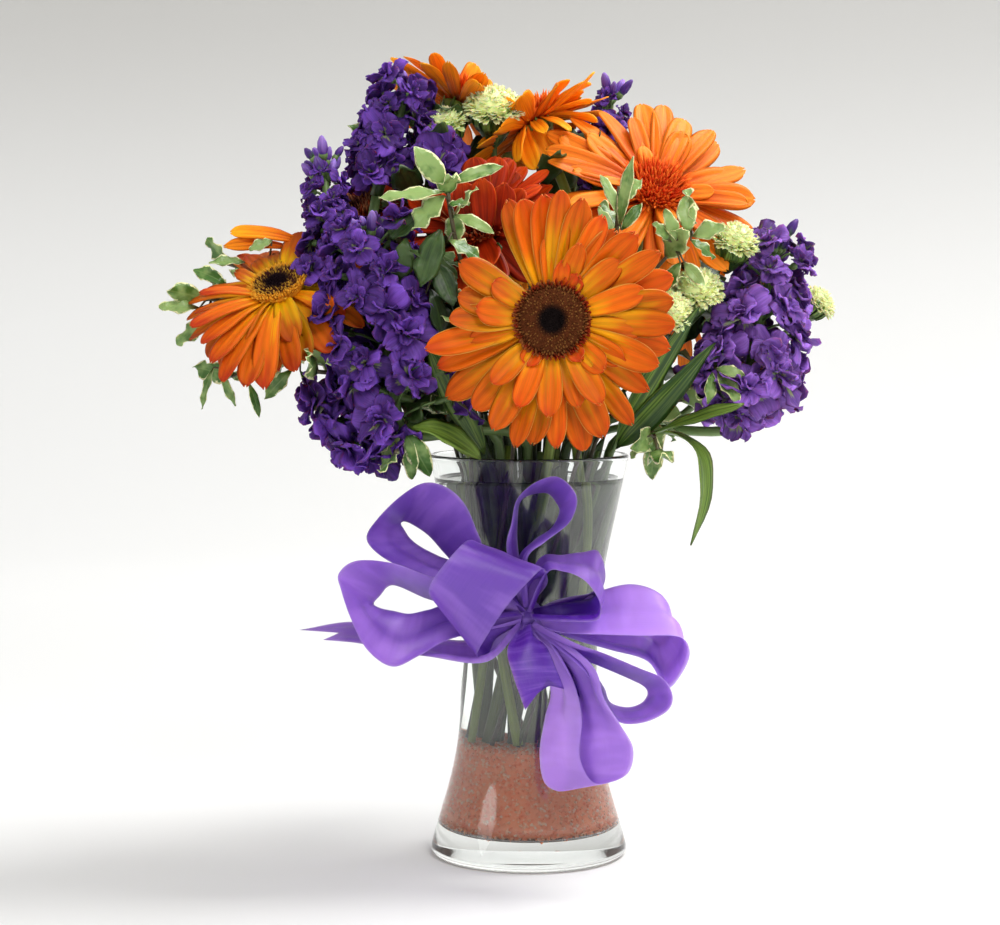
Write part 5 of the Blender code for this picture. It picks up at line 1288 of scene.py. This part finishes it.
def build_stock(spike, stem):
    draw = random.Random(spike.seed)
    petals, greens, buds = Skin(), Skin(), Skin()
    axes = across_axes(spike.axis)
    length = (Vector(spike.top) - Vector(spike.foot)).length
    greens.tube([spike.at(i / 10) for i in range(11)], np.linspace(3.2, 1.6, 11), 10, 0.4, ridge=0.08)
    count = round(spike.florets * FLORET_GAIN)
    for i in range(count):
        share = (i + 0.5) / count
        place = spike.at(0.03 + 0.9 * share)
        size = 1.0 - spike.taper * share ** 2
        away = spoke(axes, GOLDEN_ANGLE * i + draw.uniform(-0.3, 0.3))[0]
        out = (away + spike.axis * (0.2 + 0.5 * share + draw.uniform(-0.2, 0.2))).normalized()
        reach = (spike.spread - 7.0) * size * draw.uniform(0.8, 1.08)
        root = place + out * reach
        middle = place + out * (reach * 0.5) + spike.axis * 1.2
        greens.tube([place, middle, root], [0.8, 0.7, 0.9], 6, draw.random())
        add_bud(greens, root - out * (reach * 0.35), out, reach * 0.4, 1.9, draw.random())
        radius = min(spike.spread * 0.6, 17.0) * size * draw.uniform(0.8, 1.15)
        add_floret(petals, root, out, radius, draw, *FLORET_FINENESS["back" in spike.name])
    for root in EXTRA_FLORETS.get(spike.name, ()):
        root = Vector(root)
        place = spike.at(0.12)
        out = ((root - place).normalized() + Vector((0, -0.6, 0))).normalized()
        greens.tube([place, place.lerp(root, 0.5) - UP * 2, root], [0.9, 0.8, 0.9], 6, draw.random())
        add_bud(greens, root - out * 7, out, 8, 1.9, draw.random())
        add_floret(petals, root, out, draw.uniform(15, 19), draw)
    for i in range(TIP_BUDS[spike.name]):
        away = spoke(axes, GOLDEN_ANGLE * i)[0]
        way = (away * draw.uniform(0.35, 1.0) + spike.axis).normalized()
        place = Vector(spike.foot) + spike.axis * (length * (0.86 + 0.012 * i))
        reach = draw.uniform(3.0, 8.0)
        size = draw.uniform(0.8, 1.25)
        greens.tube([place, place + way * reach], 0.7, 6, 0.5)
        add_bud(greens, place + way * (reach - 1), way, 6.5 * size, 2.0 * size, 0.8)
        tip = place + way * (reach + 1.2)
        add_bud(buds, tip, way, draw.uniform(7.5, 11.5) * size, 2.3 * size, draw.random())
    buds.make(spike.name + "_buds", FLORETS["bud"], "stock_floret")
    shade = "light" if spike.name in PALE_SPIKES else "deep"
    petals.make(spike.name + "_petals", FLORETS[shade], "stock_floret", [spike.name + "_florets"])
    greens.tube(stem.path(), stem.radius, 12, draw.random(), ridge=0.06)
    greens.make(spike.name + "_green", GREENS["stock"], "stock_leaf", [spike.name + "_stem"])
    if spike.leaves:
        leaves = Skin()
        for points in spike.leaves:
            add_lance(leaves, points, 7.0, draw)
        leaves.make(spike.name + "_leaves", LANCE, "stock_leaf")


def add_lance(skin, points, half_width, draw, rows=18, cols=7):
    """Long leaf along a curve, folded a little along its rib and faintly waved."""
    stations = np.linspace(0, 1, rows)
    widths = half_width * np.maximum(np.sin(math.pi * stations ** 0.9) ** 0.75, 0.08)
    across = np.linspace(-1, 1, cols)
    grid = []
    phase = draw.random()
    spine = [bezier(points, share) for share in stations]
    for (point, tangent, _, _), width, share in zip(frames_along(spine), widths, stations):
        away = Vector((point.x, point.y, 60.0)).normalized()
        side = tangent.cross(away).normalized()
        lift = 0.28 * width * np.abs(across) + 0.5 * np.sin(math.tau * (3 * share + phase)) * across ** 2
        grid.append(np.array(point) + np.outer(across * width, side) + np.outer(lift, side.cross(tangent)))
    skin.sheet(grid, draw.random(), LANCE_THICKNESS)


# Button blooms on branched sprays: where the stem parts, and each bloom's place, facing and radius.

Spray = namedtuple("Spray", "name fork blooms")
SPRAYS = (
    Spray("carnations_top", (-22, 20, 325), (((-18, -4, 388), 0, 62, 15.0), ((-44, -6, 379), -34, 58, 12.0))),
    Spray("carnations_right", (66, -36, 251), (
        ((104, -28, 319), 28, 60, 12.5), ((84, -38, 295), 10, 48, 13.0), ((69, -54, 284), 20, 40, 12.0))),
    Spray("carnations_side", (88, 22, 241), (((128, 22, 298), 50, 52, 12.0), ((150, 4, 288), 70, 44, 10.0))),
)
BLOOM_CORE = ((0, -8), (6, -7), (10.5, -2), (10.2, 1), (7.5, 4.6), (4, 6.2), (0, 6.8))
BLOOM_PETALS = 220
CALYX_ROWS = ((5.0, -18), (8.4, -12), (10.6, -6), (11.4, -2.5), (0, -2.0))
CALYX_BRACTS = 26


def build_bloom(name, centre, axis, radius, seed):
    """Dome of toothed petals packed in golden-angle order."""
    draw = random.Random(seed * 13)
    skin = Skin()
    axes = across_axes(axis)
    size = radius / FRILL_RADIUS
    skin.lathe([(r * size, z * size) for r, z in BLOOM_CORE], 20, centre, axis, 0.5)
    for k in range(BLOOM_PETALS):
        share = math.sqrt((k + 0.5) / BLOOM_PETALS)
        away, side = spoke(axes, GOLDEN_ANGLE * k + draw.uniform(-0.1, 0.1))
        lean = 88 - 80 * share ** 1.5 + draw.uniform(-9, 9)
        root = centre + away * (5.0 * share * size) + axis * ((-2.5 - 1.5 * share) * size)
        length = (11.6 - 0.6 * share) * size * draw.uniform(0.9, 1.08)
        skin.blade(root, (away, side, axis), length, (1.2 + 0.6 * share) * size, TOOTHED, rows=6, cols=5,
                   rise=lean, bend=-10 * share + draw.uniform(-18, 12), cup=0.4, notch=1.3 * size,
                   wave=0.3, waves=2.0, phase=draw.random(), roll=draw.uniform(-20, 20),
                   thickness=FRINGE_THICKNESS, tint=draw.random())
    skin.make(name + "_look", BUTTON, "carnation", [name])


def build_spray(spray, stem):
    greens, bracts = Skin(), Skin()
    draw = random.Random(len(spray.name))
    fork = Vector(spray.fork)
    greens.tube(stem.path(), stem.radius, 10, 0.4, ridge=0.06)
    for i, (centre, azimuth, elevation, radius) in enumerate(spray.blooms):
        centre, axis = Vector(centre), facing(azimuth, elevation)
        build_bloom(f"{spray.name}_bloom_{i + 1}", centre, axis, radius, i + 1)
        size = radius / FRILL_RADIUS
        foot = centre - axis * (FRILL_FOOT * size + CLEARANCE + CALYX_LENGTH - 1)
        span = (foot - fork).length
        branch = bezier_path((fork, fork + Vector((0, 0, span * 0.3)), foot - axis * span * 0.35, foot))
        greens.tube(branch, 1.5, 8, draw.random())
        rows = [(0, -23 * size), (1.8, -22 * size)] + [(r * size, z * size) for r, z in CALYX_ROWS]
        bracts.lathe(rows, 20, centre, axis, 0.2)
        axes = across_axes(axis)
        for k in range(CALYX_BRACTS):
            away, side = spoke(axes, math.tau * (k + draw.uniform(-0.3, 0.3)) / CALYX_BRACTS * 2)
            outer = k % 2
            root = centre + away * (4.4 + 4.2 * outer) * size - axis * (18 - 6 * outer) * size
            bracts.blade(root, (axis, side, away * -1), draw.uniform(12, 16) * size, 2.3 * size, CALYX_BRACT,
                         rows=7, cols=5, rise=-30, bend=42, cup=-0.3, roll=draw.uniform(-10, 10),
                         thickness=BRACT_THICKNESS, tint=draw.random())
    greens.make(spray.name + "_stalk", GREENS["spray"], "carnation_stem", [spray.name + "_stem"])
    bracts.make(spray.name + "_bracts", BRACT, "carnation_stem")


# Pittosporum: a twig's tip, which way it grows there, its leaves, their run and any side twigs.

Sprig = namedtuple("Sprig", "name tip azimuth elevation leaves leafy side_tips seed")
SPRIGS = (
    Sprig("pittosporum_middle", (-40, -74, 347), -10, 70, 8, 76, ((-14, 16, 349),), 31),
    Sprig("pittosporum_right", (44, -64, 343), 10, 75, 7, 70, ((80, -52, 321),), 32),
    Sprig("pittosporum_left", (-178, -24, 291), -80, 8, 7, 96, ((-156, -6, 307), (-152, -14, 249)), 33),
    Sprig("pittosporum_top_left", (-78, 4, 371), -50, 50, 6, 60, (), 34),
    Sprig("pittosporum_low_left", (-106, -62, 253), -50, 5, 6, 73, ((-66, -72, 211),), 35),
    Sprig("pittosporum_low_right", (106, -38, 243), 60, 12, 6, 70, ((64, -54, 213),), 36),
)
LEAF_GAIN = 1.5
SIDE_TWIG_FORK = STRAIGHT_POINTS + 7
SIDE_TWIG_LEAVES, SIDE_TWIG_RUN = 7, 52

# Leaves of each sprig that show at the front: root, tip and half width.
HAND_LEAVES = {
    "pittosporum_middle": (
        ((-40, -74, 343), (-55, -80, 361), 6.3), ((-38, -74, 344), (-13, -71, 353), 3.9),
        ((-41, -74, 340), (-72, -76, 336), 4.4), ((-41, -74, 338), (-55, -69, 321), 7.3),
        ((-36, -74, 329), (-17, -80, 321), 3.4), ((-39, -74, 317), (-25, -69, 306), 5.3),
        ((-39, -74, 334), (-29, -71, 334), 2.9),
    ),
    "pittosporum_right": (
        ((44, -62, 324), (51, -68, 357), 3.9), ((43, -62, 329), (37, -59, 351), 3.4),
        ((45, -62, 322), (55, -64, 335), 3.4), ((78, -62, 321), (76, -57, 338), 5.4),
        ((80, -62, 319), (94, -68, 324), 5.4), ((79, -62, 317), (93, -59, 310), 4.4),
        ((68, -62, 317), (60, -64, 325), 3.9), ((74, -62, 306), (66, -57, 292), 4.4),
        ((76, -62, 306), (85, -68, 295), 3.9), ((41, -62, 321), (34, -59, 334), 2.9),
        ((72, -62, 317), (66, -64, 332), 3.9),
    ),
    "pittosporum_left": (
        ((-144, -24, 307), (-161, -30, 307), 3.5), ((-154, -24, 296), (-170, -21, 304), 5.1),
        ((-167, -24, 284), (-187, -26, 284), 4.6), ((-163, -24, 277), (-178, -19, 265), 6.1),
        ((-160, -24, 254), (-167, -30, 234), 2.5), ((-156, -24, 252), (-150, -21, 233), 2.8),
        ((-142, -24, 246), (-136, -26, 229), 2.5), ((-120, -24, 253), (-134, -19, 238), 4.6),
        ((-116, -24, 252), (-106, -30, 242), 3.5), ((-162, -24, 288), (-154, -21, 296), 3.5),
        ((-130, -24, 318), (-141, -26, 313), 3.5),
    ),
    "pittosporum_top_left": (
        ((-73, 2, 369), (-94, -4, 375), 4.7), ((-71, 2, 374), (-79, 5, 385), 3.6),
        ((-69, 2, 365), (-81, 0, 360), 3.6),
    ),
    "pittosporum_low_left": (
        ((-87, -66, 259), (-99, -72, 256), 3.9), ((-63, -66, 224), (-72, -63, 205), 3.4),
        ((-61, -66, 224), (-48, -68, 202), 6.4), ((-47, -66, 300), (-36, -61, 296), 2.9),
        ((-45, -66, 282), (-33, -72, 275), 3.7), ((-67, -66, 219), (-77, -63, 213), 3.4),
        ((-57, -66, 219), (-59, -68, 200), 4.4),
    ),
    "pittosporum_low_right": (
        ((94, -46, 252), (103, -52, 236), 5), ((63, -46, 220), (61, -43, 199), 5.5),
        ((93, -46, 254), (107, -48, 250), 3.5), ((59, -46, 220), (51, -41, 209), 3.5),
        ((91, -46, 252), (89, -52, 237), 3.5),
    ),
}

# Pittosporum leaves in shade, given the dark inner leaf material as painted shade.
PAINTED_SHADE_LEAVES = {
    "pittosporum_middle": (
        ((-43, -70, 322), (-51, -72, 295), 7.4), ((-45, -70, 306), (-37, -76, 286), 6),
        ((-48, -70, 293), (-40, -72, 271), 5.6), ((-58, -70, 312), (-34, -66, 301), 4.2),
        ((-60, -66, 318), (-64, -64, 296), 6), ((-52, -66, 330), (-66, -62, 318), 5),
    ),
}


def back_along(path, distance):
    """Point on a path a distance back from its end, and the path's direction there."""
    for low, high in zip(reversed(path[:-1]), reversed(path[1:])):
        span = (high - low).length
        if distance <= span:
            return high.lerp(low, distance / span), (high - low).normalized()
        distance -= span
    return path[0], (path[1] - path[0]).normalized()


def add_leaf(skin, root, along, face, length, half_width, draw):
    """Wavy-edged leaf from its root along a direction, with its face turned the way given."""
    side = along.cross(face).normalized()
    skin.blade(root, (along, side, side.cross(along).normalized()), length, half_width, WAVY_LEAF, rows=11,
               cols=7, rise=draw.uniform(4, 16), bend=draw.uniform(-42, -8), twist=draw.uniform(-24, 24),
               cup=draw.uniform(0.0, 0.3), wave=half_width * draw.uniform(0.24, 0.42),
               waves=draw.uniform(2.0, 2.8), phase=draw.random(), thickness=LEAF_THICKNESS,
               tint=draw.random())


def add_hand_leaf(skin, root, tip, half_width, stretch, draw):
    """Leaf from its root to its tip, facing the front."""
    face = Vector((draw.uniform(-0.35, 0.35), -0.8, draw.uniform(0.3, 0.9)))
    span = tip - root
    add_leaf(skin, root, span.normalized(), face, span.length * stretch, half_width, draw)


def build_sprig(sprig, stem):
    draw = random.Random(sprig.seed)
    leaves, twig = Skin(), Skin()
    way = stem.path()
    twig.tube(way, stem.radius * 0.8, 8, 0.3)
    twigs = [(way, round(sprig.leaves * LEAF_GAIN), sprig.leafy)]
    for tip in sprig.side_tips:
        start = way[SIDE_TWIG_FORK]
        span = Vector(tip) - start
        middle = start + span * 0.5 + Vector((0, 0, span.length * 0.12))
        path = bezier_path((start, middle, tip))
        twig.tube(path, 0.9, 8, 0.6)
        twigs.append((path, SIDE_TWIG_LEAVES, SIDE_TWIG_RUN))
    for root, tip, half_width in HAND_LEAVES[sprig.name]:
        root = Vector(root)
        add_hand_leaf(leaves, root, Vector(tip), half_width * 0.94, 1.02, draw)
        start = min((spot for path, _, _ in twigs for spot in path), key=lambda spot: (spot - root).length)
        twig.tube([start, start.lerp(root, 0.5) + UP * 1.5, root], [0.8, 0.6, 0.45], 6, 0.6)
    for path, count, leafy in twigs:
        for i in range(0, count, 2):
            share = (i + 0.6) / count
            point, tangent = back_along(path, leafy * (1 - share))
            lean = math.radians(draw.uniform(50, 74) - 34 * share)
            away = spoke(across_axes(tangent), GOLDEN_ANGLE * i + draw.uniform(-0.3, 0.3))[0]
            along, outward = spoke((tangent, away), lean)
            face = (Vector((0, -0.25, 0.35)) - outward).normalized()
            length = draw.uniform(17, 25)
            add_leaf(leaves, point, along, face, length, length * draw.uniform(0.27, 0.34), draw)
    leaves.make(sprig.name + "_leaves", VARIEGATED, "pittosporum", [sprig.name])
    if sprig.name in PAINTED_SHADE_LEAVES:
        # Painted shade: these leaves take the dark inner material in place of the variegated one.
        dark = Skin()
        for root, tip, half_width in PAINTED_SHADE_LEAVES[sprig.name]:
            add_hand_leaf(dark, Vector(root), Vector(tip), half_width, 1.06, draw)
        dark.make(sprig.name + "_dark_leaves", INNER, "pittosporum")
    twig.make(sprig.name + "_twig", GREENS["twig"], "pittosporum")


# Dark greens inside the bunch

# Where each inner stem ends, among and behind the heads.
INNER_TIPS = (
    (-36, 6, 372), (16, 22, 356), (-44, -22, 306), (-30, -36, 288), (44, 10, 312), (62, 4, 284),
    (-62, 10, 312), (2, 44, 336), (34, 44, 344), (-24, 52, 326), (58, 40, 304), (-72, 40, 294),
    (88, 6, 272), (-14, -30, 300), (30, -26, 304), (52, -30, 270), (-88, -20, 262), (84, -16, 296),
    (-58, -14, 340), (16, 60, 300), (8, 6, 362), (-46, 0, 356), (26, 24, 366), (-60, -50, 246),
    (-70, -44, 262),
)
INNER_LEAF_LENGTH, INNER_LEAF_WIDTH = 34.0, 8.5
LEAVES_PER_STEM = 8
LEAFY_SHARE = 0.78
NECK_LEAVES = 44
INNER_STEMS = 5
INNER_STEM_TURN = complex(math.cos(1.2), math.sin(1.2))

# Bright stems that show at the front, inside the glass.
FRONT_STEMS = (
    ((20, -34, 244), (24, -27, 212), (27, -21, 180), (26, -18, 150), (20, -14, 110), (12, -12, 61)),
    ((-10, -20, 214), (-15, -22, 160), (-18, -22, 130), (-22, -20, 101), (-27, -14, 61)),
    ((-16, -12, 214), (-17, -20, 150), (-14, -23, 118), (-11, -23, 96), (-5, -24, 61)),
)


def build_inner_greens():
    draw = random.Random(41)
    stalks, leaves, bright = Skin(), Skin(), Skin()
    for tip in INNER_TIPS:
        tip = Vector(tip)
        start = Vector((tip.x * 0.3, tip.y * 0.3, STEM_RIM_HEIGHT - 12))
        path = bezier_path((start, start + UP * 40, tip))
        stalks.tube(path, 1.3, 6, draw.random())
        for i in range(LEAVES_PER_STEM):
            point, tangent = back_along(path, (tip - start).length * LEAFY_SHARE * i / LEAVES_PER_STEM)
            away = spoke(across_axes(tangent), GOLDEN_ANGLE * i + draw.uniform(-0.4, 0.4))[0]
            along = (tangent * 0.75 + away).normalized()
            face = (tangent - away * 0.75 + Vector((0, -0.2, 0.3))).normalized()
            length = INNER_LEAF_LENGTH * draw.uniform(0.7, 1.15)
            add_leaf(leaves, point, along, face, length, INNER_LEAF_WIDTH * draw.uniform(0.8, 1.2), draw)
    for i in range(NECK_LEAVES):
        angle = GOLDEN_ANGLE * i
        top = draw.uniform(172, 224)
        foot = top - draw.uniform(46, 84)
        high = inner_radius(min(top, VASE_HEIGHT)) * draw.uniform(0.5, 0.86)
        low = inner_radius(foot) * draw.uniform(0.5, 0.84)
        turn = angle + draw.uniform(-0.5, 0.5)
        points = ((high * math.cos(angle), high * math.sin(angle), top),
                  (low * 0.9 * math.cos(turn), low * 0.9 * math.sin(turn), (top + foot) / 2),
                  (low * math.cos(turn), low * math.sin(turn), foot))
        add_lance(leaves, points, draw.uniform(4.5, 8.0), draw, rows=12, cols=5)
    for k in range(INNER_STEMS):
        stem = Stem(1.8, (0, 0, 0), UP)
        stem.slot = whorl(k, INNER_STEMS) * 0.94 * INNER_STEM_TURN
        heights = np.linspace(STEM_FOOT_HEIGHT, STEM_RIM_HEIGHT + 6, 10)
        stalks.tube([stem.straight_at(z) for z in heights], draw.uniform(1.0, 1.7), 8, draw.random())
    stalks.make("inner_stalks", GREENS["spray"], "stock_leaf")
    for points in FRONT_STEMS:
        bright.tube(smooth_path(points, 4), 2.4, 10, draw.random(), ridge=0.05)
    bright.make("front_stalks", GREENS["gerbera"], "gerbera_stem")
    # These leaves' dark colour is partly painted shade.
    leaves.make("inner_leaves", INNER, "stock_leaf")


# The whole bouquet

def plan_stems():
    """The stem of every head, by its name, each with its place in the bunch."""
    stems = {}
    for flower in GERBERAS:
        stems[flower.name] = Stem(GERBERA_STEM, flower.stem_base, flower.axis)
    for spike in STOCKS:
        stems[spike.name] = Stem(STOCK_STEM, Vector(spike.foot) - spike.axis * CLEARANCE, spike.axis)
    for spray in SPRAYS:
        stems[spray.name] = Stem(SPRAY_STEM, spray.fork, UP)
    for sprig in SPRIGS:
        stems[sprig.name] = Stem(TWIG_STEM, sprig.tip, facing(sprig.azimuth, sprig.elevation), 0.5)
    give_slots(list(stems.values()))
    return stems


def build_bouquet():
    stems = plan_stems()
    for flower in GERBERAS:
        build_petals(flower)
        build_eye(flower)
        build_gerbera_stem(flower, stems[flower.name])
    build_stray_petals()
    for builder, heads in ((build_stock, STOCKS), (build_spray, SPRAYS), (build_sprig, SPRIGS)):
        for head in heads:
            builder(head, stems[head.name])
    build_inner_greens()


# Studio

STAGE_FLAT = 1.5
STAGE_REACH = 3.4
STAGE_HEIGHT = 2.0
STAGE_SIDES = 96
STAGE_RINGS, SWEEP_RINGS = 6, 24


def stage_material():
    """Pale sweep with painted light: it glows more away from the middle and to the right, and less up
    the wall, and as painted shade its colour darkens up the wall.
    """
    material, graph, shader = new_material("pale_sweep", 0.85)
    x, y, z = graph.split(graph.run("ShaderNodeNewGeometry", output="Position"))
    # Painted shade: the sweep's colour darkens up the wall.
    paper_with_painted_shade = graph.mix(z.step(0.0, 1.1), (0.75, 0.75, 0.74), (0.62, 0.61, 0.585))
    # Painted light: an emission that grows away from the middle, fades up the wall and is stronger to the
    # right.
    painted_glow = (x ** 2.0 + y ** 2.0).root().step(0.6, 1.5, 0.06, 0.25) - z.step(0.2, 0.9, 0.0, 0.175)
    graph.feed(shader.inputs["Base Color"], paper_with_painted_shade)
    graph.feed(shader.inputs["Emission Color"], (1.0, 1.0, 0.99))
    graph.feed(shader.inputs["Emission Strength"], painted_glow + x.step(-1.3, 1.3, -0.05, 0.09))
    return material


def build_stage():
    """Pale round sweep: a flat floor that curves up into a wall on every side."""
    rows = [(STAGE_FLAT * i / STAGE_RINGS, 0.0) for i in range(1, STAGE_RINGS + 1)]
    for i in range(1, SWEEP_RINGS + 1):
        angle = math.pi / 2 * i / SWEEP_RINGS
        radius = STAGE_FLAT + (STAGE_REACH - STAGE_FLAT) * math.sin(angle)
        rows.append((radius, STAGE_HEIGHT * (1 - math.cos(angle))))
    turns = [math.tau * j / STAGE_SIDES for j in range(STAGE_SIDES)]
    points = [(0, 0, 0)] + [(r * math.cos(turn), r * math.sin(turn), z) for r, z in rows for turn in turns]
    faces = [(0, 1 + j, 1 + (j + 1) % STAGE_SIDES) for j in range(STAGE_SIDES)]
    for first in range(1, len(points) - STAGE_SIDES, STAGE_SIDES):
        for j in range(STAGE_SIDES):
            a, b = first + j, first + (j + 1) % STAGE_SIDES
            faces.append((a, a + STAGE_SIDES, b + STAGE_SIDES, b))
    mesh = bpy.data.meshes.new("sweep")
    mesh.from_pydata(points, [], faces)
    mesh.shade_smooth()
    mesh.materials.append(stage_material())
    sweep = bpy.data.objects.new("sweep", mesh)
    bpy.context.scene.collection.objects.link(sweep)


def area_light(name, place, target, size, power, colour=(1, 1, 1)):
    data = bpy.data.lights.new(name, "AREA")
    data.shape = "DISK"
    data.size = size
    data.energy = power
    data.color = colour
    light = bpy.data.objects.new(name, data)
    light.location = place
    light.rotation_euler = (Vector(target) - Vector(place)).to_track_quat("-Z", "Y").to_euler()
    bpy.context.scene.collection.objects.link(light)


def light_studio():
    scene = bpy.context.scene
    scene.world = bpy.data.worlds.new("soft_sky")
    scene.world.use_nodes = True
    background = scene.world.node_tree.nodes["Background"]
    background.inputs["Color"].default_value = (1.0, 1.0, 1.0, 1)
    background.inputs["Strength"].default_value = 0.5
    area_light("key", (0.95, 0.30, 1.85), (0, 0, 0.2), 1.1, 42)
    area_light("front", (0.5, -1.5, 1.5), (0, 0, 0.25), 0.8, 17, (1.0, 0.98, 0.95))
    area_light("fill", (-1.5, -0.9, 0.9), (0, 0, 0.25), 1.0, 5, (0.96, 0.98, 1.0))
    scene.view_settings.view_transform = "Standard"


build_vase()
build_water()
build_gravel()
build_bow()
build_band()
build_bouquet()
build_stage()
light_studio()
